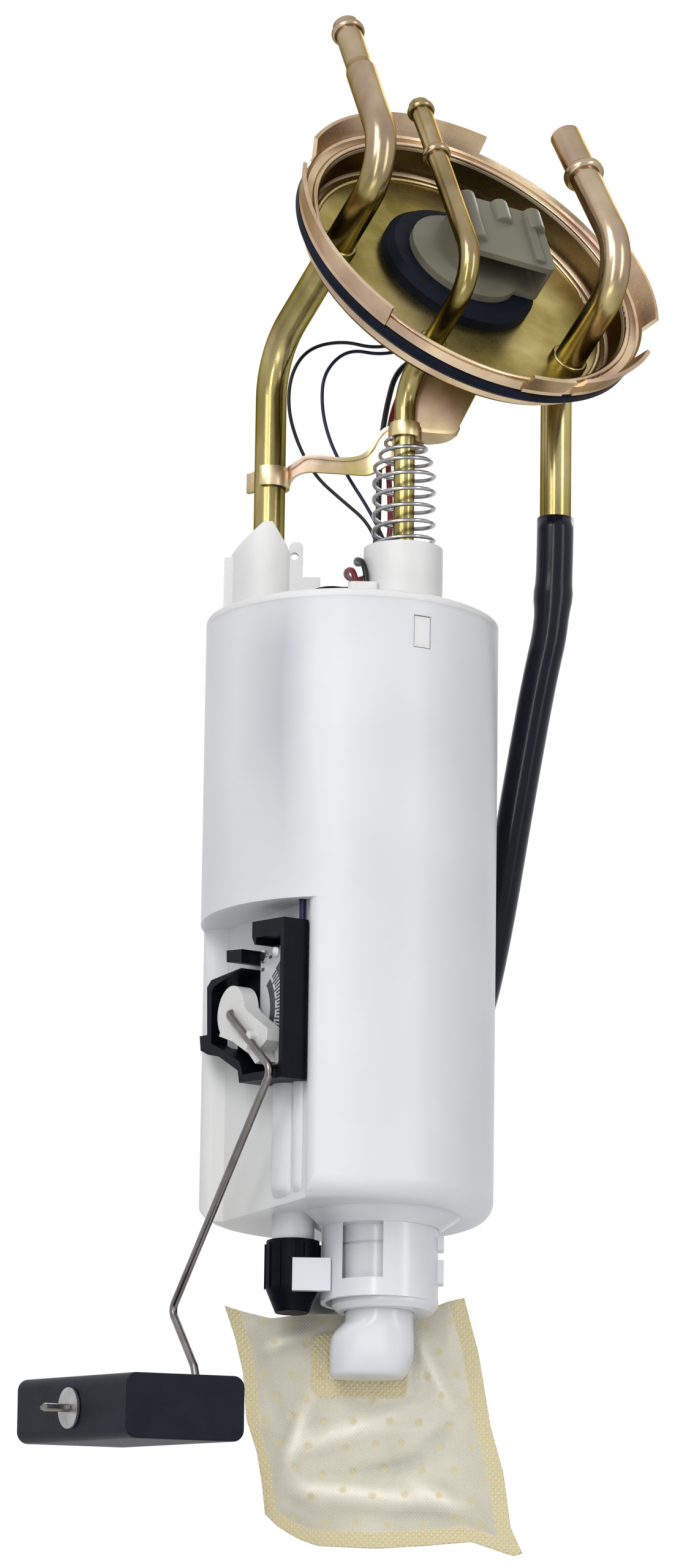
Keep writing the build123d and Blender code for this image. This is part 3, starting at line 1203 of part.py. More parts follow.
def card_tracks():
    """Resistor track and its return track, printed on the card as two arcs about the pivot."""
    low = SENDER_FLOOR + CARD_THICK
    high = low + TRACK_THICK
    x0, x1, y0, y1 = CARD
    tracks = []
    for inner, outer in TRACKS:
        arc = ring(outer, inner, low, high) & sector(TRACK_ANGLES[0], TRACK_ANGLES[1], 60, low, high)
        tracks.append(arc & block(x0 + 0.4, x1 - 0.4, y0 + 0.4, y1 - 0.4, low, high))
    return on_sender(Compound(tracks))


def card_rivets():
    low = SENDER_FLOOR + CARD_THICK
    rivets = [rod(RIVET_RADIUS, 0.2, low, x, y) + rod(RIVET_HEAD, low, low + 0.9, x, y) for x, y in RIVETS]
    return on_sender(Compound(rivets))


def card_retainer():
    """White clip at the card's foot, where the sender's leads are held."""
    body = block(13.0, 19.5, -18.0, CARD[2] - 0.2, SENDER_FLOOR, SENDER_FLOOR + 2.3)
    return on_sender(fillet(body.edges().filter_by(Axis.Z), 0.8))


def arm_path():
    """The float arm's centreline in the sender's frame: pivot pin, arm, float pin."""
    droop = math.radians(PIN_DROOP)
    x, y = ARM_ROUTE[-1]
    foot = [(0.0, 0.0, PIVOT_END)] + [(a, b, ARM_PLANE) for a, b in ARM_ROUTE]
    tip = (x, y - PIN_LENGTH * math.sin(droop), ARM_PLANE + PIN_LENGTH * math.cos(droop))
    return FilletPolyline(*foot, tip, radius=ARM_BEND)


def wiper_hub():
    """White hub that turns on the housing's boss and is clipped to the arm's wire."""
    hub = rod(HUB_RADIUS, HUB_LOW, HUB_HIGH) + prism(HUB_LOBE, HUB_LOW, HUB_HIGH)
    way = math.degrees(math.atan2(ARM_ROUTE[1][1], ARM_ROUTE[1][0]))
    jaw = block(HUB_CLIP_FROM, HUB_CLIP_FROM + 3.0, -ARM_WIRE - 1.2, ARM_WIRE + 1.2,
                HUB_HIGH - 1.0, ARM_PLANE + ARM_WIRE * 0.6)
    hub += Rot(0, 0, way) * jaw
    hub -= swept(arm_path(), ARM_WIRE + 0.01)
    return on_sender(hub)


def wiper_contacts():
    """Two spring fingers under the hub that press on the card's tracks."""
    touch = SENDER_FLOOR + CARD_THICK + TRACK_THICK + FIT
    low = HUB_LOW - CONTACT_THICK
    fingers = []
    for (inner, outer), turn in zip(TRACKS, CONTACT_ANGLES):
        reach = (inner + outer) / 2
        leaf = block(HUB_RADIUS - 2.0, reach + 0.7, -0.9, 0.9, low, HUB_LOW)
        tip = block(reach - 0.7, reach + 0.7, -0.9, 0.9, touch, low)
        fingers.append(Rot(0, 0, turn) * (leaf + tip))
    return on_sender(Compound(fingers))


def pin_frame():
    """Frame of the float's pin in the sender's frame: Z along the pin, from the arm's plane outwards."""
    x, y = ARM_ROUTE[-1]
    return Pos(x, y, ARM_PLANE) * Rot(PIN_DROOP, 0, 0)


def float_arm():
    wide, thin, long = PIN_FLAT
    paddle = Pos(0, 0, PIN_LENGTH - long / 2) * Box(wide, thin, long)
    return on_sender(swept(arm_path(), ARM_WIRE) + pin_frame() * paddle)


def float_body():
    """Closed-cell float that swivels on the arm's pin."""
    middle = FLOAT_STANDOFF + FLOAT_WIDTH / 2
    block_shape = Box(FLOAT_LENGTH, FLOAT_HEIGHT, FLOAT_WIDTH)
    block_shape = fillet(block_shape.edges().filter_by(Axis.X), FLOAT_EDGE)
    block_shape = fillet(block_shape.edges(), FLOAT_END_EDGE)
    body = Rot(0, 0, -FLOAT_TILT) * Pos(0, 0, middle) * block_shape
    body -= rod(ARM_WIRE + FIT, 0, middle * 3)
    return on_sender(pin_frame() * body)


def push_nut():
    """Spring washer pushed onto the pin, outside the float."""
    low = FLOAT_STANDOFF + FLOAT_WIDTH + GAP
    return on_sender(pin_frame() * ring(NUT_RADIUS, ARM_WIRE + 0.01, low, low + NUT_THICK))


def build():
    parts = {
        "flange_cover": flange_cover(),
        "flange_gasket": flange_gasket(),
        "connector_grommet": connector_grommet(),
        "connector_body": connector_body(),
        "connector_terminals": connector_terminals(),
        "feed_tube": feed_tube(),
        "vent_tube": vent_tube(),
        "return_tube": return_tube(),
        "support_bracket": support_bracket(),
        "guide_spring": guide_spring(),
        "stop_ring": stop_ring(),
        "feed_hose_clamp": feed_hose_clamp(),
        "reservoir_shell": reservoir_shell(),
        "reservoir_lid": reservoir_lid(),
        "vent_tube_bush": vent_tube_bush(),
        "feed_tube_bush": feed_tube_bush(),
        "pump_casing": pump_casing(),
        "pump_inlet_cover": pump_inlet_cover(),
        "pump_upper_plate": pump_upper_plate(),
        "pump_bearings": pump_bearings(),
        "pump_magnets": pump_magnets(),
        "armature": armature(),
        "commutator": commutator(),
        "armature_shaft": armature_shaft(),
        "impeller": impeller(),
        "pump_brushes": pump_brushes(),
        "brush_springs": brush_springs(),
        "pump_outlet_cap": pump_outlet_cap(),
        "check_valve_ball": check_valve_ball(),
        "check_valve_spring": check_valve_spring(),
        "pump_terminals": pump_terminals(),
        "pump_plug": pump_plug(),
        "lower_isolator": lower_isolator(),
        "upper_isolator": upper_isolator(),
        "pump_holder": pump_holder(),
        "pressure_hose": pressure_hose(),
        "pump_hose_clamp": pump_hose_clamp(),
        "pump_leads": pump_leads(),
        "sender_wire_black": sender_wire_black(),
        "sender_wire_blue": sender_wire_blue(),
        "pump_wire_black": pump_wire_black(),
        "pump_wire_red": pump_wire_red(),
        "sender_lead": sender_lead(),
        "pump_retainer": pump_retainer(),
        "strainer_elbow": strainer_elbow(),
        "strainer_sock": strainer_sock(),
        "return_elbow": return_elbow(),
        "jet_nozzle": jet_nozzle(),
        "return_hose": return_hose(),
        "level_sender_housing": level_sender_housing(),
        "resistor_card": resistor_card(),
        "card_tracks": card_tracks(),
        "card_rivets": card_rivets(),
        "card_retainer": card_retainer(),
        "wiper_hub": wiper_hub(),
        "wiper_contacts": wiper_contacts(),
        "float_arm": float_arm(),
        "float": float_body(),
        "push_nut": push_nut(),
    }
    os.makedirs("parts", exist_ok=True)
    for name, shape in parts.items():
        export_step(shape, f"parts/{name}.step")


build()
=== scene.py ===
"""Looks of the fuel pump module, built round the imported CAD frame, in metres."""
import math
import random

import bpy
import numpy as np
from mathutils import Matrix, Vector


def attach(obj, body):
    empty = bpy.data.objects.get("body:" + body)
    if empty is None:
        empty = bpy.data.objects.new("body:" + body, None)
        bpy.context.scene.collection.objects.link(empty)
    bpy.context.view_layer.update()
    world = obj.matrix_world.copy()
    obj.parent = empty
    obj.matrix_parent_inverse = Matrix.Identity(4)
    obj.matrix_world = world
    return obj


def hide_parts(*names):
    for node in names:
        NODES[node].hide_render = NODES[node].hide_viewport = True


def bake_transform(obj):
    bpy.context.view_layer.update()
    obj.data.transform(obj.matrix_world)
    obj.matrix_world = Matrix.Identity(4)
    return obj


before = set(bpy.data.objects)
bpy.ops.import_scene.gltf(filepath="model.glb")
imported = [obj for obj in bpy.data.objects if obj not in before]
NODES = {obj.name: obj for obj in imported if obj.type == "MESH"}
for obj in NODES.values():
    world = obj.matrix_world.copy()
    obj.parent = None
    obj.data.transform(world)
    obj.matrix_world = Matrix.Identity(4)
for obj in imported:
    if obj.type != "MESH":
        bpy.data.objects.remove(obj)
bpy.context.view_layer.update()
MM = 0.001
RES = Vector((-32.5, 3.0, -293.8)) * MM        # the reservoir's bottom centre

# Plain numbers in the tables of points are millimetres, most of them from that centre.  What carries MM, the
# camera, the lamps, the real lengths and the places in materials are metres.


def res(x, y, z):
    """Point given in millimetres from the reservoir's bottom centre."""
    return RES + Vector((x, y, z)) * MM


# ---------------- camera
CAMERA_AT = Vector((-0.03637, -2.0221, -0.6509))
CAMERA_TARGET = Vector((-0.03637, 0.0030, -0.16033))
CAMERA_ROLL = math.radians(0.8306)
CAMERA_HEIGHT_ANGLE = math.radians(12.9607)


def make_camera():
    data = bpy.data.cameras.new("photo_camera")
    data.sensor_width = 36.0
    data.lens = data.sensor_width / 2 / math.tan(CAMERA_HEIGHT_ANGLE / 2)
    data.clip_start, data.clip_end = 0.05, 50.0
    camera = bpy.data.objects.new("photo_camera", data)
    bpy.context.scene.collection.objects.link(camera)
    ahead = (CAMERA_TARGET - CAMERA_AT).normalized()
    level = ahead.cross(Vector((0, 0, 1))).normalized()
    above = level.cross(ahead)
    right = level * math.cos(CAMERA_ROLL) + above * math.sin(CAMERA_ROLL)
    up = above * math.cos(CAMERA_ROLL) - level * math.sin(CAMERA_ROLL)
    turn = Matrix((right, up, -ahead)).transposed().to_4x4()
    camera.matrix_world = Matrix.Translation(CAMERA_AT) @ turn
    bpy.context.scene.camera = camera


make_camera()


# ---------------- mesh helpers
def mesh_object(name, vertices, faces, smooth=True):
    mesh = bpy.data.meshes.new(name)
    mesh.from_pydata([tuple(v) for v in vertices], [], faces)
    mesh.validate()
    if smooth:
        mesh.polygons.foreach_set("use_smooth", [True] * len(mesh.polygons))
    obj = bpy.data.objects.new(name, mesh)
    bpy.context.scene.collection.objects.link(obj)
    return obj


def nurbs_line(points, resolution):
    """Points along the smooth NURBS curve that has these control points."""
    curve = bpy.data.curves.new("route", "CURVE")
    curve.dimensions = "3D"
    curve.resolution_u = resolution
    spline = curve.splines.new("NURBS")
    spline.points.add(len(points) - 1)
    for slot, point in zip(spline.points, points):
        slot.co = (*point, 1.0)
    spline.order_u = 3
    spline.use_endpoint_u = True
    obj = bpy.data.objects.new("route", curve)
    bpy.context.scene.collection.objects.link(obj)
    bpy.context.view_layer.update()
    mesh = bpy.data.meshes.new_from_object(obj)
    line = [v.co.copy() for v in mesh.vertices]
    bpy.data.objects.remove(obj)
    bpy.data.meshes.remove(mesh)
    return line


def tube_rings(line, radius_at, sides):
    """Rings of points round a line; radius_at gives the radius at a share of its length."""
    tangents = []
    for index in range(len(line)):
        before, after = line[max(index - 1, 0)], line[min(index + 1, len(line) - 1)]
        tangents.append((after - before).normalized())
    side = tangents[0].orthogonal().normalized()
    points = []
    travelled, total = 0.0, sum((b - a).length for a, b in zip(line, line[1:]))
    for index, (place, tangent) in enumerate(zip(line, tangents)):
        if index:
            travelled += (place - line[index - 1]).length
            side = (side - tangent * side.dot(tangent)).normalized()
        across = tangent.cross(side)
        radius = radius_at(travelled / total)
        for step in range(sides):
            turn = 2 * math.pi * step / sides
            points.append(place + (side * math.cos(turn) + across * math.sin(turn)) * radius)
    return points


def wall_faces(rings, sides):
    """Quads of the wall that joins rings of points."""
    faces = []
    for ring in range(rings - 1):
        for step in range(sides):
            a, b = ring * sides + step, ring * sides + (step + 1) % sides
            faces.append((a, b, b + sides, a + sides))
    return faces


def closed_faces(rings, sides):
    """The wall's quads with a cap at each end."""
    last = (rings - 1) * sides
    return wall_faces(rings, sides) + [tuple(range(sides - 1, -1, -1)), tuple(range(last, last + sides))]


def tube_mesh(name, line, radius_at, sides):
    return mesh_object(name, tube_rings(line, radius_at, sides), closed_faces(len(line), sides))


def slab_faces(rows, columns):
    """Faces of two grids of points, one behind the other, closed round their rim."""
    wide, count = columns + 1, (columns + 1) * (rows + 1)
    faces = []
    for row in range(rows):
        for column in range(columns):
            a = row * wide + column
            faces.append((a + wide, a + wide + 1, a + 1, a))
            faces.append((count + a, count + a + 1, count + a + wide + 1, count + a + wide))
    rim = [column for column in range(columns)]
    rim += [row * wide + columns for row in range(rows)]
    rim += [rows * wide + column for column in range(columns, 0, -1)]
    rim += [row * wide for row in range(rows, 0, -1)]
    for here, there in zip(rim, rim[1:] + rim[:1]):
        faces.append((here, there, count + there, count + here))
    return faces


def ease(value):
    """Soft step: 0 below 0, 1 above 1 and an even curve between."""
    value = np.clip(value, 0.0, 1.0)
    return value * value * (3 - 2 * value)


# ---------------- shader helpers
def new_material(name):
    """A material with an empty Principled shader; returns (material, tree, shader)."""
    material = bpy.data.materials.new(name)
    material.use_nodes = True
    return material, material.node_tree, material.node_tree.nodes["Principled BSDF"]


def set_inputs(node, values):
    for name, value in values.items():
        node.inputs[name].default_value = value


def object_place(tree):
    return tree.nodes.new("ShaderNodeTexCoord").outputs["Object"]


def noise_node(tree, scale, detail=3.0, stretch=None):
    """Noise of 0..1 over the object's own coordinates."""
    place = object_place(tree)
    if stretch is not None:
        mapping = tree.nodes.new("ShaderNodeMapping")
        mapping.inputs["Scale"].default_value = stretch
        tree.links.new(place, mapping.inputs["Vector"])
        place = mapping.outputs["Vector"]
    noise = tree.nodes.new("ShaderNodeTexNoise")
    set_inputs(noise, {"Scale": scale, "Detail": detail})
    tree.links.new(place, noise.inputs["Vector"])
    return noise.outputs["Fac"]


def ramp_node(tree, source, stops):
    """Colour ramp fed by a socket; stops are (place, colour)."""
    ramp = tree.nodes.new("ShaderNodeValToRGB")
    elements = ramp.color_ramp.elements
    while len(elements) < len(stops):
        elements.new(0.5)
    for element, (place, colour) in zip(elements, stops):
        element.position = place
        element.color = (*colour, 1.0)
    tree.links.new(source, ramp.inputs["Fac"])
    return ramp.outputs["Color"]


def span_node(tree, source, low, high, to_low=0.0, to_high=1.0):
    """Maps low..high of a socket to to_low..to_high, held at both ends."""
    span = tree.nodes.new("ShaderNodeMapRange")
    set_inputs(span, {"From Min": low, "From Max": high, "To Min": to_low, "To Max": to_high})
    tree.links.new(source, span.inputs["Value"])
    return span.outputs["Result"]


def math_node(tree, first, second, operation="ADD", clamp=True):
    """Sum, product or the like of two sockets or numbers."""
    total = tree.nodes.new("ShaderNodeMath")
    total.operation = operation
    total.use_clamp = clamp
    for socket, value in zip(total.inputs, (first, second)):
        if isinstance(value, float):
            socket.default_value = value
        else:
            tree.links.new(value, socket)
    return total.outputs["Value"]


def product(tree, first, *others):
    for other in others:
        first = math_node(tree, first, other, "MULTIPLY")
    return first


def vector_node(tree, operation, source, constant=(0.0, 0.0, 0.0)):
    node = tree.nodes.new("ShaderNodeVectorMath")
    node.operation = operation
    tree.links.new(source, node.inputs[0])
    node.inputs[1].default_value = constant
    return node


def blend_colour(tree, factor, first, second):
    """Mix of two colour sockets or colours."""
    mix = tree.nodes.new("ShaderNodeMix")
    mix.data_type = "RGBA"
    tree.links.new(factor, mix.inputs["Factor"])
    for socket, colour in (("A", first), ("B", second)):
        if isinstance(colour, tuple):
            mix.inputs[socket].default_value = (*colour, 1.0)
        else:
            tree.links.new(colour, mix.inputs[socket])
    return mix.outputs["Result"]


def bump_node(tree, source, strength, distance, shader):
    bump = tree.nodes.new("ShaderNodeBump")
    set_inputs(bump, {"Strength": strength, "Distance": distance})
    tree.links.new(source, bump.inputs["Height"])
    tree.links.new(bump.outputs["Normal"], shader.inputs["Normal"])


def fine_grain(tree, shader, scale, rough, bump):
    """Fine noise that varies the gloss between two values and stands out as relief."""
    fine = noise_node(tree, scale, detail=2.0)
    tree.links.new(span_node(tree, fine, 0.0, 1.0, *rough), shader.inputs["Roughness"])
    bump_node(tree, fine, bump, GRAIN_DEPTH, shader)


def let_light_in(shader, weight, radius):
    set_inputs(shader, {"Subsurface Weight": weight, "Subsurface Radius": radius, "Subsurface Scale": 1.0})


def scaled(colours, factor):
    return [tuple(part * factor for part in colour) for colour in colours]


# ---------------- finishes
NORMAL = Vector((0.431457, -0.718065, 0.546102))     # outward normal of the flange
GRAIN_DEPTH = 0.1 * MM
MILKY_RADIUS = (0.006, 0.006, 0.007)          # how far light spreads in the milky plastics, in metres

# Yellow chromate over zinc.  Places are metres from the flange's axis or above its sealing face.
FILM = [(0.115, 0.100, 0.036), (0.225, 0.185, 0.070), (0.400, 0.345, 0.150)]     # olive, gold, light gold
FILM_STOPS = (0.30, 0.48, 0.72)
BARE = [(0.290, 0.195, 0.170), (0.43, 0.335, 0.265)]                             # rose, pale
BARE_STOPS = (0.36, 0.66)
EDGE_TINT = (0.34, 0.28, 0.19, 1.0)           # of the metal's reflection at a grazing angle
RIM_BARE_GAIN = 1.2
ZONES = {     # from and to where the film thins, how far patches shift that, and the share it reaches
    "rim": (0.046, 0.0525, 0.3, 0.65),
    "top": (0.018, 0.036, 0.35, 0.7),
}
DRIFT_SPAN, PATCH_SPAN = (0.35, 0.65), (0.40, 0.62)     # of the noise: for the shift, and for bare patches
PAN_WALL = 0.0520                             # inner radius of the pan's wall
PAN_SHADE = (0.045, 0.036, 0.018)             # painted shade on the inner face of that wall, where it lies in shadow
PAN_SHADE_IN = (PAN_WALL - 0.0012, PAN_WALL - 0.0002)
PAN_SHADE_OUT = (PAN_WALL + 0.0004, PAN_WALL + 0.0012, 0.85, 0.0)

# The reservoir's plastic.  Places are metres in the shared frame.
SHELL_TONES = [(0.32, (0.66, 0.67, 0.705)), (0.68, (0.715, 0.725, 0.75))]
# Painted shadow: a soft dark streak on the shell, standing for the lead inside seen through the milky wall.
SHADOW_STREAK_X = -0.0520
SHADOW_STREAK_LEFT, SHADOW_STREAK_RIGHT = 0.013, 0.010      # widths of its soft sides
SHADOW_STREAK_FOOT, SHADOW_STREAK_HEAD = (-0.212, -0.150), (-0.128, -0.112, 1.0, 0.25)
SHADOW_STREAK_FRONT = (-0.005, -0.020)               # Y over which it fades in, so that it shows in front alone
SHADOW_STREAK_TONE, SHADOW_STREAK_SHARE = (0.34, 0.36, 0.41), 0.62
SHADOW_STREAK_SWAY = 0.004
WARM_FOOT, WARM_SIDE = (-0.215, -0.285, 0.0, 0.5), (-0.045, -0.072)
WARM_TONE = (0.72, 0.71, 0.64)


def plain(name, low, high, rough, scale=120.0, grain=900.0, bump=0.12, metal=0.0, soft=0.0, specular=0.5):
    """Surface whose colour drifts between two tones, with a fine grain in gloss and relief."""
    material, tree, shader = new_material(name)
    colour = ramp_node(tree, noise_node(tree, scale), [(0.32, low), (0.68, high)])
    tree.links.new(colour, shader.inputs["Base Color"])
    fine_grain(tree, shader, grain, rough=(rough * 0.85, min(1.0, rough * 1.15)), bump=bump)
    set_inputs(shader, {"Metallic": metal, "Specular IOR Level": specular})
    if soft:
        let_light_in(shader, soft, MILKY_RADIUS)
    return material


def milky(name, low, high, rough, soft):
    """Milky plastic with the soft unevenness of a thin moulding."""
    return plain(name, low, high, rough, scale=26.0, grain=2200.0, bump=0.05, soft=soft, specular=0.45)


def yellow_zinc(name, scale, zone=None, stretch=None, rough=0.34, tone=1.0):
    """Olive gold that turns to rose where the film is thin: outside the pan for zone "rim", up the tubes for
    zone "top", or else in patches.  For zone "rim" the pan's inner wall is also darkened with painted shade."""
    material, tree, shader = new_material(name)
    clouds = noise_node(tree, scale, detail=4.0, stretch=stretch)
    film = ramp_node(tree, clouds, list(zip(FILM_STOPS, scaled(FILM, tone))))
    gain = RIM_BARE_GAIN if zone == "rim" else 1.0
    thin = ramp_node(tree, clouds, list(zip(BARE_STOPS, scaled(BARE, tone * gain))))
    patches = noise_node(tree, scale * 0.6, stretch=stretch)
    height = vector_node(tree, "DOT_PRODUCT", object_place(tree), NORMAL).outputs["Value"]
    turned = vector_node(tree, "CROSS_PRODUCT", object_place(tree), NORMAL).outputs["Vector"]
    reach = vector_node(tree, "LENGTH", turned).outputs["Value"]
    if zone in ZONES:
        start, end, shift, share = ZONES[zone]
        drift = span_node(tree, patches, *DRIFT_SPAN, -shift, shift)
        where = math_node(tree, span_node(tree, reach if zone == "rim" else height, start, end), drift)
        where = product(tree, where, share)
    else:
        where = span_node(tree, patches, *PATCH_SPAN)
    colour = blend_colour(tree, where, film, thin)
    if zone == "rim":
        # Painted shade: the inner face of the pan's wall is darkened where it lies in shadow.
        wall = product(tree, span_node(tree, reach, *PAN_SHADE_IN), span_node(tree, reach, *PAN_SHADE_OUT))
        colour = blend_colour(tree, wall, colour, PAN_SHADE)
    tree.links.new(colour, shader.inputs["Base Color"])
    fine_grain(tree, shader, 1400.0, rough=(rough * 0.8, rough * 1.25), bump=0.10)
    set_inputs(shader, {"Metallic": 1.0, "Specular Tint": EDGE_TINT})
    return material


def reservoir_plastic():
    """Milky shell: greyish white, with a painted shadow, a soft dark streak near the top where the lead
    inside would show through.
    """
    material, tree, shader = new_material("shell_plastic")
    body = ramp_node(tree, noise_node(tree, 24.0), SHELL_TONES)
    parts = tree.nodes.new("ShaderNodeSeparateXYZ")
    tree.links.new(object_place(tree), parts.inputs["Vector"])
    x, y, z = parts.outputs["X"], parts.outputs["Y"], parts.outputs["Z"]
    # Painted shadow of the lead inside: a dark streak mixed into the shell's colour.
    sway = span_node(tree, noise_node(tree, 11.0, detail=1.0), 0.3, 0.7, -SHADOW_STREAK_SWAY, SHADOW_STREAK_SWAY)
    across = math_node(tree, x, sway, clamp=False)
    shadow = product(
        tree,
        span_node(tree, across, SHADOW_STREAK_X - SHADOW_STREAK_LEFT, SHADOW_STREAK_X),
        span_node(tree, across, SHADOW_STREAK_X, SHADOW_STREAK_X + SHADOW_STREAK_RIGHT, 1.0, 0.0),
        span_node(tree, z, *SHADOW_STREAK_FOOT), span_node(tree, z, *SHADOW_STREAK_HEAD), span_node(tree, y, *SHADOW_STREAK_FRONT),
        SHADOW_STREAK_SHARE)
    colour = blend_colour(tree, shadow, body, SHADOW_STREAK_TONE)
    warmth = product(tree, span_node(tree, z, *WARM_FOOT), span_node(tree, x, *WARM_SIDE))
    colour = blend_colour(tree, warmth, colour, WARM_TONE)
    tree.links.new(colour, shader.inputs["Base Color"])
    fine_grain(tree, shader, 1500.0, rough=(0.30, 0.40), bump=0.05)
    shader.inputs["Specular IOR Level"].default_value = 0.4
    let_light_in(shader, 0.25, MILKY_RADIUS)
    return material


ZINC_PAN = yellow_zinc("zinc_pan", 38.0, "rim", rough=0.28, tone=1.75)
ZINC_TUBE = yellow_zinc("zinc_tube", 60.0, "top", stretch=(1.0, 1.0, 0.30), rough=0.22, tone=1.25)
ZINC_STRAP = yellow_zinc("zinc_strap", 60.0, tone=1.7)
SPRING_STEEL = plain("spring_steel", (0.30, 0.30, 0.31), (0.42, 0.42, 0.43), 0.26, metal=1.0)
ARM_STEEL = plain("arm_steel", (0.13, 0.125, 0.12), (0.22, 0.21, 0.20), 0.28, metal=1.0)
BRIGHT_STEEL = plain("bright_steel", (0.66, 0.66, 0.67), (0.78, 0.78, 0.79), 0.22, metal=1.0)
NUT_STEEL = plain("nut_steel", (0.30, 0.30, 0.30), (0.45, 0.45, 0.45), 0.35, metal=1.0)
SEAL_RUBBER = plain("seal_rubber", (0.003, 0.005, 0.011), (0.007, 0.010, 0.020), 0.58, bump=0.2, grain=1400.0,
                    specular=0.09)
CONNECTOR_NYLON = plain("connector_nylon", (0.165, 0.162, 0.118), (0.205, 0.20, 0.15), 0.42, scale=45.0,
                        grain=1700.0, soft=0.06, specular=0.3)
TERMINAL_TIN = plain("terminal_tin", (0.62, 0.58, 0.50), (0.74, 0.70, 0.62), 0.25, metal=1.0)
SHELL_PLASTIC = reservoir_plastic()
LID_PLASTIC = milky("lid_plastic", (0.70, 0.70, 0.705), (0.77, 0.77, 0.775), 0.42, 0.25)
FITTING_PLASTIC = milky("fitting_plastic", (0.60, 0.615, 0.66), (0.70, 0.71, 0.745), 0.22, 0.12)
HUB_PLASTIC = milky("hub_plastic", (0.66, 0.66, 0.66), (0.74, 0.74, 0.73), 0.34, 0.15)
BLACK_PLASTIC = plain("black_plastic", (0.0025, 0.003, 0.006), (0.005, 0.006, 0.010), 0.38, grain=1300.0,
                      specular=0.05)
HOSE_RUBBER = plain("hose_rubber", (0.003, 0.004, 0.009), (0.006, 0.007, 0.014), 0.20, grain=700.0, bump=0.05,
                    specular=0.2)
FLOAT_NITRILE = plain("float_nitrile", (0.003, 0.0045, 0.010), (0.006, 0.009, 0.018), 0.50, grain=1600.0,
                      bump=0.45, specular=0.14)
CARD_CERAMIC = plain("card_ceramic", (0.50, 0.52, 0.54), (0.60, 0.61, 0.62), 0.35)
TRACK_INK = plain("track_ink", (0.02, 0.02, 0.022), (0.05, 0.05, 0.05), 0.45)
WIRE_BLACK = plain("wire_black", (0.006, 0.006, 0.009), (0.012, 0.012, 0.016), 0.34, specular=0.25)
WIRE_BLUE = plain("wire_blue", (0.006, 0.009, 0.040), (0.010, 0.015, 0.065), 0.34, specular=0.25)
WIRE_RED = plain("wire_red", (0.13, 0.006, 0.012), (0.20, 0.010, 0.018), 0.36, specular=0.3)
CAST_ALLOY = plain("cast_alloy", (0.55, 0.55, 0.56), (0.66, 0.66, 0.67), 0.45, metal=1.0, bump=0.4)
FERRITE = plain("ferrite", (0.05, 0.05, 0.055), (0.08, 0.08, 0.085), 0.6)
LAMINATE = plain("laminate", (0.30, 0.28, 0.27), (0.42, 0.40, 0.38), 0.35, metal=1.0)
COPPER = plain("copper", (0.62, 0.34, 0.22), (0.75, 0.44, 0.30), 0.28, metal=1.0)
BRONZE = plain("bronze", (0.48, 0.36, 0.22), (0.58, 0.45, 0.28), 0.42, metal=1.0)
RESIN = plain("resin", (0.16, 0.10, 0.06), (0.22, 0.15, 0.09), 0.5)
CARBON = plain("carbon", (0.02, 0.02, 0.02), (0.05, 0.05, 0.05), 0.6)

FINISHES = {
    ZINC_PAN: ["flange_cover"],
    ZINC_TUBE: ["feed_tube", "vent_tube", "return_tube"],
    ZINC_STRAP: ["support_bracket"],
    SPRING_STEEL: ["guide_spring", "brush_springs", "check_valve_spring", "stop_ring", "wiper_contacts"],
    ARM_STEEL: ["float_arm"],
    NUT_STEEL: ["push_nut"],
    BRIGHT_STEEL: ["card_rivets", "pump_casing", "pump_hose_clamp", "feed_hose_clamp",
                   "armature_shaft", "check_valve_ball"],
    SEAL_RUBBER: ["flange_gasket", "connector_grommet", "lower_isolator", "upper_isolator"],
    CONNECTOR_NYLON: ["connector_body"],
    TERMINAL_TIN: ["connector_terminals", "pump_terminals"],
    SHELL_PLASTIC: ["reservoir_shell"],
    LID_PLASTIC: ["reservoir_lid", "vent_tube_bush", "feed_tube_bush"],
    FITTING_PLASTIC: ["pump_retainer", "strainer_elbow"],
    HUB_PLASTIC: ["wiper_hub", "card_retainer"],
    BLACK_PLASTIC: ["return_elbow", "level_sender_housing", "pump_plug", "pump_holder", "pump_outlet_cap"],
    FLOAT_NITRILE: ["float"],
    CARD_CERAMIC: ["resistor_card"],
    TRACK_INK: ["card_tracks"],
    WIRE_BLACK: ["pump_leads"],
    WIRE_BLUE: ["sender_lead"],
    CAST_ALLOY: ["pump_inlet_cover", "pump_upper_plate"],
    FERRITE: ["pump_magnets"],
    LAMINATE: ["armature"],
    COPPER: ["commutator"],
    BRONZE: ["pump_bearings", "jet_nozzle"],
    RESIN: ["impeller"],
    CARBON: ["pump_brushes"],
}


def dress(obj, material):
    obj.data.materials.clear()
    obj.data.materials.append(material)


for finish, names in FINISHES.items():
    for node_name in names:
        dress(NODES[node_name], finish)


def dress(obj, material):
    obj.data.materials.clear()
    obj.data.materials.append(material)


for finish, names in FINISHES.items():
    for node_name in names:
        dress(NODES[node_name], finish)


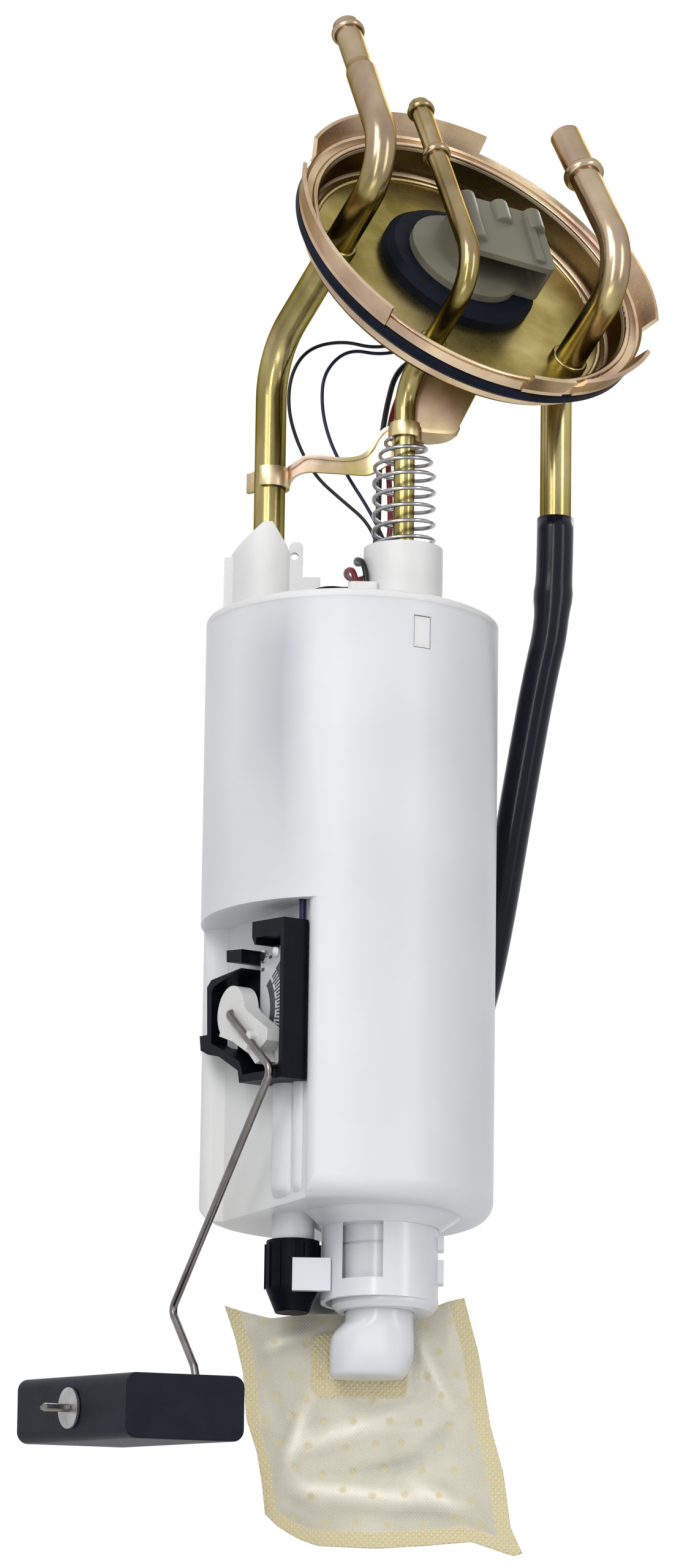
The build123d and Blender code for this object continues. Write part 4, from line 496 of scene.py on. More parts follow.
# ---------------- cords
WIRE_START = 9.0 * MM         # each wire leaves the connector straight for this far
WIRE_SIDES, HOSE_SIDES = 12, 32
THIN, THICK = 0.55 * MM, 0.9 * MM
WIRE_FACTS = {    # end of its terminal's tail in millimetres, radius, real length, finish and slot
    "sender_wire_black": ((-6.72, 14.76, -3.85), THIN, 0.173, WIRE_BLACK, "wire_black"),
    "sender_wire_blue": ((-2.48, 16.96, -4.30), THIN, 0.150, WIRE_BLUE, "wire_blue"),
    "pump_wire_black": ((1.76, 19.17, -4.75), THICK, 0.138, WIRE_BLACK, "wire_black"),
    "pump_wire_red": ((6.00, 21.38, -5.20), THICK, 0.145, WIRE_RED, "wire_red"),
}
WIRE_ROUTES = {
    "sender_wire_black": [
        (14.6, 17.6, 278.6), (5.6, 14.0, 275.3), (-4.2, 13.0, 277.4), (-14.6, 11.0, 274.4),
        (-20.0, 9.0, 265.8), (-20.9, 9.0, 254.2), (-17.5, 10.4, 242.8), (-11.9, 11.2, 233.0),
        (-4.0, 10.2, 225.6), (4.6, 8.4, 217.8), (8.2, 7.2, 207.6), (5.4, 5.8, 198.8),
        (-0.6, -0.4, 194.2), (-8.4, -6.6, 193.4), (-16.2, -8.2, 189.8), (-19.5, -8.5, 181.2)],
    "sender_wire_blue": [
        (18.6, 20.2, 278.4), (8.2, 17.0, 274.0), (-2.6, 15.4, 275.6), (-9.9, 13.6, 267.6),
        (-10.6, 12.2, 256.4), (-8.0, 11.0, 244.6), (-2.2, 8.6, 232.6), (4.2, 7.4, 222.4),
        (9.2, 7.8, 212.6), (13.0, 6.0, 202.4), (20.6, 4.4, 196.4), (28.2, 3.4, 191.4),
        (30.0, 3.0, 181.2)],
    "pump_wire_black": [
        (22.6, 21.4, 276.4), (12.6, 12.0, 268.6), (9.4, 6.0, 254.0), (7.6, 3.0, 239.0),
        (7.4, 1.2, 224.0), (7.4, 1.4, 211.4), (4.8, -0.4, 203.6), (0.9, -6.0, 200.4),
        (0.8, -13.4, 200.2), (2.8, -19.6, 198.0), (4.2, -21.4, 192.0), (4.2, -21.4, 181.2)],
    "pump_wire_red": [
        (27.0, 22.6, 275.6), (16.2, 12.6, 266.4), (10.8, 8.6, 252.6), (10.0, 5.8, 238.0),
        (11.0, 4.2, 224.0), (11.2, 4.4, 211.0), (7.6, 3.6, 201.4), (1.6, 0.6, 197.2),
        (-2.0, -6.8, 196.2), (-2.2, -14.4, 196.2), (-0.2, -20.4, 195.2), (1.0, -21.4, 190.4),
        (1.0, -21.4, 181.2)],
}
HOSE_ROUTE = [
    (61.6, 8.0, 219.8), (61.6, 8.0, 190.0), (57.2, 12.0, 170.0), (53.4, 17.0, 148.0),
    (49.6, 22.4, 125.0), (45.4, 28.6, 98.0), (40.2, 36.0, 72.0), (31.6, 45.0, 50.0),
    (20.8, 52.4, 30.0), (11.0, 55.2, 9.0), (5.0, 49.6, -10.0), (-3.4, 36.0, -19.0),
    (-12.0, 25.5, -18.5), (-15.1, 17.0, -17.2), (-15.1, 4.5, -17.2)]
HOSE_RADIUS = 5.3 * MM
HOSE_GRIP_SHARE = 0.085       # share of the hose that is stretched over the return tube
HOSE_STRETCH, HOSE_STRETCH_STEP = 0.30 * MM, 400     # how much wider there, and how sharply it ends
HOSE_BULGE, HOSE_BULGE_SHARE = 0.55 * MM, 0.012
PRESSURE_ROUTE = [
    (-26.0, 14.7, 166.0), (-26.0, 14.7, 157.0), (-26.0, 14.7, 145.0), (-18.6, 8.8, 135.6),
    (-8.9, 0.2, 149.4), (1.6, -6.0, 137.0), (1.6, -6.0, 122.0), (1.6, -6.0, 108.0)]
PRESSURE_RADIUS = 6.0 * MM
BORE_AT_PUMP, BORE_MORE_AT_TUBE, BORE_STEP = 4.28 * MM, 0.60 * MM, 12


def make_wires():
    for name, route in WIRE_ROUTES.items():
        tail, radius, length, finish, slot = WIRE_FACTS[name]
        start = Vector(tail) * MM
        points = [start, start - NORMAL * WIRE_START] + [res(*p) for p in route]
        line = nurbs_line(points, resolution=10)
        wire = tube_mesh(name + "_insulation", line, lambda share, r=radius: r, WIRE_SIDES)
        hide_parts(name)
        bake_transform(wire)
        dress(wire, finish)


def hose_radius(share):
    """The hose is stretched over the tube and bulges at the tube's end."""
    over = HOSE_STRETCH / (1 + math.exp((share - HOSE_GRIP_SHARE) * HOSE_STRETCH_STEP))
    bulge = HOSE_BULGE * math.exp(-((share - HOSE_GRIP_SHARE) / HOSE_BULGE_SHARE) ** 2)
    return HOSE_RADIUS + over + bulge


def make_hose():
    points = [res(*p) for p in HOSE_ROUTE]
    line = nurbs_line(points, resolution=14)
    hose = tube_mesh("return_hose_rubber", line, hose_radius, HOSE_SIDES)
    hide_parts("return_hose")
    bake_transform(hose)
    dress(hose, HOSE_RUBBER)


def pressure_bore(share):
    """The hose's bore: wider over the feed tube, where the route starts, than over the pump's outlet."""
    return BORE_AT_PUMP + BORE_MORE_AT_TUBE / (1 + math.exp((share - 0.5) * BORE_STEP))


def make_pressure_hose():
    """Hose from the feed tube to the pump's outlet, which on the real module gives way as the reservoir
    slides up; here it is a fixed mesh.
    """
    line = nurbs_line([res(*p) for p in PRESSURE_ROUTE], resolution=12)
    outer = tube_rings(line, lambda share: PRESSURE_RADIUS, HOSE_SIDES)
    inner = tube_rings(line, pressure_bore, HOSE_SIDES)
    wall, count = wall_faces(len(line), HOSE_SIDES), len(outer)
    faces = wall + [tuple(count + corner for corner in reversed(face)) for face in wall]
    for first, turned in ((0, True), (count - HOSE_SIDES, False)):
        for step in range(HOSE_SIDES):
            a, b = first + step, first + (step + 1) % HOSE_SIDES
            ring = (a, b, count + b, count + a)
            faces.append(ring[::-1] if turned else ring)
    pressure = mesh_object("pressure_hose_rubber", outer + inner, faces)
    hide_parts("pressure_hose")
    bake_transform(pressure)
    dress(pressure, HOSE_RUBBER)


make_wires()
make_hose()
make_pressure_hose()


# ---------------- guide spring
SPRING_AT = (15.0, -12.5)
SPRING_LOW, SPRING_HIGH = 191.43, 237.87      # the wire's centre, lowest and highest
SPRING_RADIUS, SPRING_NECK = 9.15, 5.5        # of the coils, below and at the top of the cone
SPRING_CONE = 9.0             # height of the cone
SPRING_PITCH, SPRING_CONE_PITCH = 5.05, 4.0
SPRING_WIRE = 0.625 * MM      # radius
SPRING_STEPS = 36             # points in a turn


def make_spring():
    """Round wire wound into even coils that narrow at the top."""
    straight = SPRING_HIGH - SPRING_LOW - SPRING_CONE
    turns = straight / SPRING_PITCH + SPRING_CONE / SPRING_CONE_PITCH
    line = []
    for step in range(int(turns * SPRING_STEPS) + 1):
        turn = step / SPRING_STEPS
        height = turn * SPRING_PITCH
        radius = SPRING_RADIUS
        if height > straight:
            height = straight + (turn - straight / SPRING_PITCH) * SPRING_CONE_PITCH
            radius += (SPRING_NECK - SPRING_RADIUS) * (height - straight) / SPRING_CONE
        angle = 2 * math.pi * turn
        line.append(res(SPRING_AT[0] + radius * math.cos(angle), SPRING_AT[1] + radius * math.sin(angle),
                        SPRING_LOW + height))
    spring = tube_mesh("guide_spring_wire", line, lambda share: SPRING_WIRE, WIRE_SIDES)
    dress(spring, SPRING_STEEL)
    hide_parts("guide_spring")
    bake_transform(spring)


make_spring()


# ---------------- support bracket
FEED_LEG, VENT_LEG = (-26.0, 14.7), (15.0, -12.5)      # the two tubes' vertical legs
PAN_UNDER = -5.6              # underside of the pan, from the sealing face along the normal
PAN_CLEAR = 0.7               # half the sheet and a little air
SHEET = 1.2 * MM
EDGE_EASE = 0.22 * MM
GUSSET_Y = -8.4
GUSSET_LIP = 7.0              # depth of the gusset's lip that lies against the pan
STRAP_LIP = 1.5               # depth of the lip bent forward along the strap's top
STRAP_ROWS = [      # x, y, height of the top and bottom edges
    (-20.6, 15.0, 235.6, 230.4), (-20.0, 13.4, 235.8, 231.6), (-18.3, 12.2, 236.8, 233.4),
    (-15.0, 10.6, 239.0, 234.4), (-10.0, 8.0, 237.8, 233.4), (-3.8, 4.6, 236.2, 232.1),
    (1.0, 1.6, 235.8, 230.9), (4.4, -0.6, 237.0, 230.2), (8.6, -1.7, 244.6, 232.3),
    (13.0, -1.8, 244.6, 235.2), (21.0, -1.8, 241.6, 239.2)]
GUSSET_COLUMNS = [  # x at the pan, x and height of the lower fold, then where its lower lip ends
    (17.0, 16.0, 243.2, (16.0, -2.2, 241.8)), (22.0, 21.0, 242.4, (21.0, -2.2, 240.2)),
    (30.0, 27.0, 242.0, (27.2, -3.2, 240.6)), (37.0, 30.2, 242.0, (30.4, -6.2, 241.6)),
    (42.8, 31.5, 243.8, (31.3, -7.8, 243.6))]
CLIPS = [           # leg, radius, first and last angle, points before and after the band, top and bottom
    (FEED_LEG, 5.5, (-122, 150), [], [(-5.6, 4.2), (-6.9, 5.0)], 236.0, 229.8),
    (VENT_LEG, 3.95, (-180, 0), [(-4.4, 3.9), (-3.95, 2.0)], [(3.95, 2.0), (4.6, 4.1)], 243.3, 238.9)]
CLIP_STEPS = 24


def cut_corners(points, rounds):
    """Rounds the corners of a line, or of a grid's columns, and keeps its ends."""
    for _ in range(rounds):
        before, after = points[:-1], points[1:]
        middle = np.stack([before * 0.75 + after * 0.25, before * 0.25 + after * 0.75], axis=1)
        points = np.concatenate([points[:1], middle.reshape(-1, *points.shape[1:]), points[-1:]])
    return points


def rounded_grid(rows, rounds):
    """Grid rounded down its columns this many times, then twice along its rows."""
    return cut_corners(cut_corners(rows, rounds).transpose(1, 0, 2), 2)


def pan_height(x, y):
    """Height above the reservoir's bottom of a sheet that lies under the pan."""
    east, north = RES.x / MM + x, RES.y / MM + y
    return (PAN_UNDER - PAN_CLEAR - NORMAL.x * east - NORMAL.y * north) / NORMAL.z - RES.z / MM


def clip_band(leg, radius, angles, before, after, top, bottom):
    """Grid of a band round a tube, with its ends bent off."""
    first, last = angles
    turns = [math.radians(first + (last - first) * step / CLIP_STEPS) for step in range(CLIP_STEPS + 1)]
    plan = before + [(radius * math.cos(turn), radius * math.sin(turn)) for turn in turns] + after
    return np.array([[(leg[0] + x, leg[1] + y, height) for x, y in plan] for height in (top, bottom)])


def make_bracket():
    """Bent sheet: a band round the feed tube, a strap, a clip on the vent tube and a gusset under the pan."""
    strap = rounded_grid(np.array([
        [(x, y - STRAP_LIP, top + 0.1), (x, y, top + 0.2), (x, y, (top + low) / 2), (x, y, low)]
        for x, y, top, low in STRAP_ROWS]), 2)
    gusset = []
    for top_x, fold_x, fold_z, lip in GUSSET_COLUMNS:
        high = pan_height(top_x, GUSSET_Y)
        front = GUSSET_Y - GUSSET_LIP
        gusset.append([(top_x, front, pan_height(top_x, front)), (top_x, GUSSET_Y, high),
                       (fold_x * 0.7 + top_x * 0.3, GUSSET_Y, fold_z * 0.7 + high * 0.3),
                       (fold_x, GUSSET_Y, fold_z), lip])
    gusset = rounded_grid(np.array(gusset)[:, [0, 1, 1, 2, 3, 3, 4]], 1)     # doubled rows keep folds crisp
    vertices, faces = [], []
    for grid in (strap, gusset, *(clip_band(*clip) for clip in CLIPS)):
        base, (rows, columns, _) = len(vertices), grid.shape
        vertices += [res(*point) for point in grid.reshape(-1, 3).tolist()]
        for row in range(rows - 1):
            for column in range(columns - 1):
                a = base + row * columns + column
                faces.append((a, a + 1, a + columns + 1, a + columns))
    bracket = mesh_object("support_bracket_sheet", vertices, faces)
    thicken = bracket.modifiers.new("thicken", "SOLIDIFY")
    thicken.thickness = SHEET
    thicken.offset = 0.0
    thicken.use_even_offset = True
    ease_edges = bracket.modifiers.new("ease_edges", "BEVEL")
    ease_edges.width = EDGE_EASE
    ease_edges.segments = 2
    ease_edges.limit_method = "ANGLE"
    ease_edges.angle_limit = math.radians(50)
    dress(bracket, ZINC_STRAP)
    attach(bracket, "flange")
    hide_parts("support_bracket")


make_bracket()


# ---------------- print on the resistor card
CARD_AT = (-26.1, -12.4, 59.0)                # the arm's axis at the sender's plane
CARD_ACROSS, CARD_OUT = Vector((0.5, -0.866, 0.0)), Vector((-0.866, -0.5, 0.0))
CARD_TOP = 3.0
INK_SUNK, INK_RISE = 0.05, 0.09
COMB = (14.9, 18.7, -23.5, 36.0, 18)          # inner and outer ends, first and last angle, number of fingers
FINGER_HALF = 0.24            # half a finger's width
FINGER_SHORT = 0.9            # two fingers of three start further out
CARD_PADS = [       # centre, width and height
    (7.0, 12.6, 1.7, 1.0), (7.0, 15.2, 1.7, 1.0), (11.4, 15.6, 2.0, 0.9), (19.4, -7.6, 1.6, 1.0)]


def card_point(x, y, z):
    return res(*CARD_AT) + (CARD_ACROSS * x + Vector((0, 0, 1)) * y + CARD_OUT * z) * MM


def make_card_print():
    """Raised ink: the comb of fine fingers between the two tracks, and a few soldered pads."""
    inner, outer, first, last, count = COMB
    patches = []
    for step in range(count):
        angle = math.radians(first + (last - first) * step / (count - 1))
        ahead = Vector((math.cos(angle), math.sin(angle)))
        half = Vector((-math.sin(angle), math.cos(angle))) * FINGER_HALF
        start, end = ahead * (inner + (FINGER_SHORT if step % 3 else 0.0)), ahead * outer
        patches.append([start - half, end - half, end + half, start + half])
    for x, y, wide, high in CARD_PADS:
        patches.append([Vector((x + dx * wide / 2, y + dy * high / 2)) for dx, dy in
                        ((-1, -1), (1, -1), (1, 1), (-1, 1))])
    vertices, faces = [], []
    for corners in patches:
        base = len(vertices)
        for level in (CARD_TOP - INK_SUNK, CARD_TOP + INK_RISE):
            vertices += [card_point(corner.x, corner.y, level) for corner in corners]
        faces.append(tuple(base + 4 + i for i in range(4)))
        faces += [(base + i, base + (i + 1) % 4, base + 4 + (i + 1) % 4, base + 4 + i) for i in range(4)]
    ink = mesh_object("card_print", vertices, faces, smooth=False)
    dress(ink, TRACK_INK)
    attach(ink, "reservoir")


make_card_print()


# ---------------- strainer elbow
ELBOW_SECTIONS = [      # height, centre x and y, half sizes and squareness of each section
    (-15.6, 10.8, -6.0, 10.0, 10.0, 2.0), (-28.0, 10.8, -6.0, 10.0, 10.0, 2.0),
    (-31.6, 10.7, -5.9, 10.1, 10.0, 2.0), (-32.6, 10.2, -5.6, 10.7, 10.2, 2.2),
    (-34.6, 9.2, -4.9, 11.8, 10.4, 2.5), (-36.8, 8.7, -4.2, 12.5, 10.3, 2.8),
    (-41.0, 8.7, -3.4, 12.5, 9.8, 2.9), (-44.8, 8.2, -2.6, 11.9, 9.0, 3.0),
    (-46.6, 7.7, -2.3, 11.2, 8.4, 3.1), (-47.3, 7.4, -2.1, 10.6, 7.8, 3.1), (-47.5, 7.3, -2.0, 9.4, 6.8, 3.1),
]
ELBOW_SIDES = 64


def make_elbow():
    """Pipe that turns back into the bag and widens towards it."""
    vertices = []
    for z, cx, cy, hx, hy, power in ELBOW_SECTIONS:
        for side in range(ELBOW_SIDES):
            angle = 2 * math.pi * side / ELBOW_SIDES
            c, s = math.cos(angle), math.sin(angle)
            x = cx + hx * math.copysign(abs(c) ** (2 / power), c)
            y = cy + hy * math.copysign(abs(s) ** (2 / power), s)
            vertices.append(res(x, y, z))
    # The sections run downwards, so each face is turned over from the same first corner.
    faces = [(face[0], *reversed(face[1:])) for face in closed_faces(len(ELBOW_SECTIONS), ELBOW_SIDES)]
    elbow = mesh_object("strainer_elbow_shell", vertices, faces)
    smooth = elbow.modifiers.new("smooth", "SUBSURF")
    smooth.levels = smooth.render_levels = 1
    dress(elbow, FITTING_PLASTIC)
    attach(elbow, "reservoir")
    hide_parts("strainer_elbow")


make_elbow()


# ---------------- risers on the notch's wall
NOTCH_WALL = 28.8             # the slanted wall, from the reservoir's axis
RISERS = [(12.8, 5.2, 2.5), (22.0, 2.6, 1.6)]         # place along the wall, half width, rise
RISER_SPAN = (5.0, 26.2)
RISER_LOW, RISER_HIGH = 1.5, 41.0
RISER_TAPER = 3.5             # height over which a riser grows at either end
RISER_COLUMNS, RISER_ROWS = 84, 40
RISER_SUNK, RISER_BACK = 0.25, 0.7            # skin and back of the moulding, inside the wall's face


def make_risers():
    """Two rounded risers moulded on the notch's wall, below the level sender."""
    vertices = []
    for back in (False, True):
        for row in range(RISER_ROWS + 1):
            z = RISER_LOW + (RISER_HIGH - RISER_LOW) * row / RISER_ROWS
            taper = ease(np.float64(min(z - RISER_LOW, RISER_HIGH - z) / RISER_TAPER))
            for column in range(RISER_COLUMNS + 1):
                along_wall = RISER_SPAN[0] + (RISER_SPAN[1] - RISER_SPAN[0]) * column / RISER_COLUMNS
                rise = sum(high * math.sqrt(max(0.0, 1 - ((along_wall - at) / half) ** 2))
                           for at, half, high in RISERS)
                out = NOTCH_WALL + (-RISER_BACK if back else rise * float(taper) - RISER_SUNK)
                vertices.append(RES + (CARD_OUT * out + CARD_ACROSS * along_wall + Vector((0, 0, z))) * MM)
    faces = [face[::-1] for face in slab_faces(RISER_ROWS, RISER_COLUMNS)]
    risers = mesh_object("notch_risers", vertices, faces)
    dress(risers, SHELL_PLASTIC)
    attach(risers, "reservoir")


make_risers()


# ---------------- strainer sock
SOCK_TOP = [(-35.2, -24.7), (-29.5, -26.4), (-21.2, -28.3), (-10.0, -26.6), (0.0, -26.9), (11.0, -27.0),
            (21.7, -26.6), (30.8, -22.6), (36.1, -21.3)]
SOCK_BOTTOM = [(-22.2, -86.6), (-18.3, -90.4), (-12.0, -94.0), (-6.4, -95.9), (11.0, -96.4), (25.0, -95.4),
               (39.0, -94.0), (51.5, -98.1), (54.0, -97.2)]
SOCK_LEFT = [(-35.2, -24.7), (-32.0, -34.0), (-29.4, -44.5), (-28.2, -58.4), (-24.9, -68.3), (-23.2, -78.0),
             (-22.2, -86.6)]
SOCK_RIGHT = [(36.1, -21.3), (38.4, -30.0), (40.4, -37.2), (44.3, -59.7), (48.2, -73.5), (50.5, -89.8),
              (54.0, -97.2)]
SOCK_MIDDLE = 9.5             # the bag's middle plane, behind the pump's axis
SOCK_PUFF = 2.6
SOCK_SIZE = (76.0, 70.0)      # the bag laid flat, across and down, for distances from its edges
SOCK_COLUMNS, SOCK_ROWS = 240, 210
EDGE_PASSES = 12              # smoothing passes over each edge
HEM, HEM_SOFT = 4.8, 0.6      # width of the welded edge, and of its soft inner border
HEM_SWELL, MOUTH_SWELL = 13.0, 9.0            # over this far from the hem and from the top the bag puffs out
DOT_PITCH, DOT_SIZE, DOT_DEPTH = 9.5, 1.15, 0.40
DOT_ROWS, DOT_COLUMNS, DOT_START, DOT_ROW_STEP = 11, 11, (-38, -22), 0.78
DOT_DRIFT = 1.4               # each pressed dot lies up to this far off its place
WELD_BOX = (-9.2, 19.6, -52.2, -33.0)         # weld of the bag round the elbow
WELD_WIDTH, WELD_CORNER, WELD_SOFT = 4.9, 3.6, 0.8      # width, corner radius and soft edge
WELD_OPEN_IN, WELD_OPEN_SOFT = 5.0, 4.0       # the weld is left out this far in from the box's right side,
WELD_FOOT, WELD_FOOT_SOFT = 7.0, 3.0          # and from this height up
WELD_RISE, FRAME_RISE = 0.35, 0.5             # of the weld, and of the sheet over the elbow's frame
SMALL_FOLDS = 44
SMALL_SPANS = ((-28, 45), (-92, -32), (-1.5, 1.5), (5, 11), (1.0, 1.8))       # x, z, slant, length, width
SMALL_HEIGHT = (0.12, 0.3)
FELT_HALF = 0.5               # half the thickness of the flat bag
# The second number sets how strongly fold height turns into painted light on crests and painted shade in
# hollows.
PUFF_POWER, FOLD_SHADING_GAIN = 0.6, 0.22
BACK_FOLD_SHARE = 0.55        # the back sheet follows the folds this far
FOLD_CURVE = 0.03
FOLDS = [       # x, z, slant, length, width, height: positive stands forward
    (8.0, -82.0, -0.10, 24.0, 3.2, 3.6), (34.0, -86.0, -0.55, 14.0, 2.8, 3.2),
    (20.0, -89.0, 0.05, 18.0, 2.2, -2.2), (43.0, -70.0, -1.30, 16.0, 2.4, 2.2),
    (-15.0, -68.0, 1.15, 15.0, 2.8, 2.4), (-21.0, -37.0, 0.45, 11.0, 2.2, 2.2),
    (3.0, -62.0, 0.35, 18.0, 3.0, 2.0), (29.0, -47.0, -1.05, 14.0, 2.4, 2.2),
    (31.0, -62.0, 0.7, 14.0, 2.8, -1.8), (-22.0, -50.0, -1.2, 13.0, 2.4, -1.8),
    (14.0, -73.0, 0.2, 16.0, 2.4, -1.6), (-7.0, -88.0, -0.5, 11.0, 2.0, -1.8)]


def along(points, share):
    """Point at a share of a polyline's length."""
    spans = [math.dist(a, b) for a, b in zip(points, points[1:])]
    target = share * sum(spans)
    for (a, b), span in zip(zip(points, points[1:]), spans):
        if target <= span or b is points[-1]:
            part = min(1.0, target / span)
            return a[0] + (b[0] - a[0]) * part, a[1] + (b[1] - a[1]) * part
        target -= span


def eased(points, count):
    """Points evenly spread along an edge, with its corners eased."""
    line = np.array([along(points, step / (count - 1)) for step in range(count)])
    for _ in range(EDGE_PASSES):
        line[1:-1] = (line[:-2] + 2 * line[1:-1] + line[2:]) / 4
    return line


def sock_plan():
    """X and Z of the bag's grid: a Coons patch between its four edges, the top first."""
    top, bottom = eased(SOCK_TOP, SOCK_COLUMNS + 1), eased(SOCK_BOTTOM, SOCK_COLUMNS + 1)
    left, right = eased(SOCK_LEFT, SOCK_ROWS + 1), eased(SOCK_RIGHT, SOCK_ROWS + 1)
    u = np.linspace(0, 1, SOCK_COLUMNS + 1)[None, :, None]
    v = np.linspace(0, 1, SOCK_ROWS + 1)[:, None, None]
    ruled = (1 - v) * top[None] + v * bottom[None] + (1 - u) * left[:, None] + u * right[:, None]
    corners = ((1 - u) * (1 - v) * top[0] + u * (1 - v) * top[-1] + (1 - u) * v * bottom[0]
               + u * v * bottom[-1])
    plan = ruled - corners
    return plan[..., 0], plan[..., 1], u[..., 0] + 0 * v[..., 0], v[..., 0] + 0 * u[..., 0]


def fold_field(x, z, folds):
    """Sum of the folds' heights; each is a ridge that fades along its length and curves a little."""
    field = np.zeros_like(x)
    for fx, fz, slant, reach, width, size in folds:
        off = (x - fx) * math.sin(slant) - (z - fz) * math.cos(slant)
        run = (x - fx) * math.cos(slant) + (z - fz) * math.sin(slant)
        off = off + FOLD_CURVE * run * run / reach
        field += size * np.exp(-(off / width) ** 2 - (run / reach) ** 2)
    return field


def pressed_dots(x, z, rng):
    """Rows of dots, each a little off its place: 1 in a dot and 0 between."""
    dots = np.zeros_like(x)
    for row in range(DOT_ROWS):
        for column in range(DOT_COLUMNS):
            dx = DOT_START[0] + (column + row % 2 / 2) * DOT_PITCH + rng.uniform(-DOT_DRIFT, DOT_DRIFT)
            dz = DOT_START[1] - row * DOT_PITCH * DOT_ROW_STEP + rng.uniform(-DOT_DRIFT, DOT_DRIFT)
            dots = np.maximum(dots, np.exp(-(((x - dx) ** 2 + (z - dz) ** 2) / DOT_SIZE ** 2) ** 2))
    return dots


def weld_frame(x, z):
    """Where the bag is welded round the elbow, save up the right side, and where it lies over the frame."""
    x0, x1, z0, z1 = WELD_BOX
    beside, above = np.minimum(x - x0, x1 - x), np.minimum(z - z0, z1 - z)
    within = WELD_CORNER - np.hypot(np.maximum(WELD_CORNER - beside, 0), np.maximum(WELD_CORNER - above, 0))
    within += np.maximum(np.minimum(beside, above) - WELD_CORNER, 0)
    weld = ease(within / WELD_SOFT + 0.5) * (1 - ease((within - WELD_WIDTH) / WELD_SOFT))
    open_side = (x - x1 + WELD_OPEN_IN) / WELD_OPEN_SOFT
    over_foot = (z - z0 - WELD_FOOT) / WELD_FOOT_SOFT
    weld *= 1 - ease(open_side) * ease(over_foot)
    return weld, ease((within + 1.5) / 2.0)


def make_sock():
    """Felt bag: two sheets welded along a hem, puffed between, with pressed dots and soft folds."""
    rng = random.Random(7)
    small = [(*[rng.uniform(*span) for span in SMALL_SPANS], rng.choice((-1, 1)) * rng.uniform(*SMALL_HEIGHT))
             for _ in range(SMALL_FOLDS)]
    x, z, u, v = sock_plan()
    wide, high = SOCK_SIZE
    edge = np.minimum(np.minimum(u, 1 - u) * wide, (1 - v) * high)
    inside = ease((edge - HEM) / HEM_SWELL) * ease((v * high - 0.5) / MOUTH_SWELL)
    hem = 1.0 - ease((edge - HEM) / HEM_SOFT + 0.5)
    dots = pressed_dots(x, z, rng)
    weld, frame_rise = weld_frame(x, z)
    folds = fold_field(x, z, FOLDS) + fold_field(x, z, small)
    # Painted light and shade of the folds: above 0.5 on crests, below it in hollows; the felt is painted
    # lighter and darker by it.
    fold_shading_height = np.clip(0.5 + FOLD_SHADING_GAIN * folds * inside, 0, 1)
    vertices, values = [], []
    for side in (-1, 1):
        depth = FELT_HALF + SOCK_PUFF * inside ** PUFF_POWER - DOT_DEPTH * dots * inside
        if side < 0:
            depth = depth + folds * inside * (1 - frame_rise) + FRAME_RISE * frame_rise + WELD_RISE * weld
        else:
            depth = depth - BACK_FOLD_SHARE * folds * inside
        points = np.stack([x, SOCK_MIDDLE + side * depth, z], axis=-1).reshape(-1, 3)
        vertices += [res(*point) for point in points.tolist()]
        marked = weld if side < 0 else np.zeros_like(x)
        values.append(np.stack([dots * (1 - hem), hem, marked, fold_shading_height], axis=-1).reshape(-1, 4))
    bag = mesh_object("strainer_sock_felt", vertices, slab_faces(SOCK_ROWS, SOCK_COLUMNS))
    marks_and_fold_shade = bag.data.color_attributes.new("marks_and_fold_shade", "FLOAT_COLOR", "POINT")      # dots, hem, weld, and the painted light and shade of the folds
    marks_and_fold_shade.data.foreach_set("color", np.concatenate(values).ravel())
    dress(bag, felt_material())
    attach(bag, "reservoir")
    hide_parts("strainer_sock")


FELT_TONES = [(0.32, (0.50, 0.485, 0.40)), (0.50, (0.63, 0.605, 0.50)), (0.68, (0.74, 0.72, 0.625))]
# Painted highlight on the folds' crests and painted shade in their hollows.
PAINTED_CREST_LIGHT, PAINTED_HOLLOW_SHADE = (0.88, 0.85, 0.74), (0.44, 0.44, 0.37)
PRESSED_TONE = (0.62, 0.55, 0.30)
QUILT_TONES = (0.64, 0.55, 0.31), (0.83, 0.77, 0.59)          # grooves and ridges of a weld
WEAVE_PITCH, QUILT_PITCH = 1.1 * MM, 1.8 * MM
FELT_RADIUS = (0.004, 0.0035, 0.0025)


def ridges(tree, pitch, slant):
    """Ridges a pitch apart in the bag's plane, slanting one way or the other."""
    turn = tree.nodes.new("ShaderNodeMapping")
    turn.inputs["Scale"].default_value = (1.0, 0.0, slant)
    tree.links.new(object_place(tree), turn.inputs["Vector"])
    wave = tree.nodes.new("ShaderNodeTexWave")
    wave.bands_direction = "DIAGONAL"
    wave.inputs["Scale"].default_value = 2 * math.pi / (10 * pitch)
    tree.links.new(turn.outputs["Vector"], wave.inputs["Vector"])
    return wave.outputs["Fac"]


def crossed_ridges(tree, pitch):
    return product(tree, ridges(tree, pitch, 1.0), ridges(tree, pitch, -1.0))


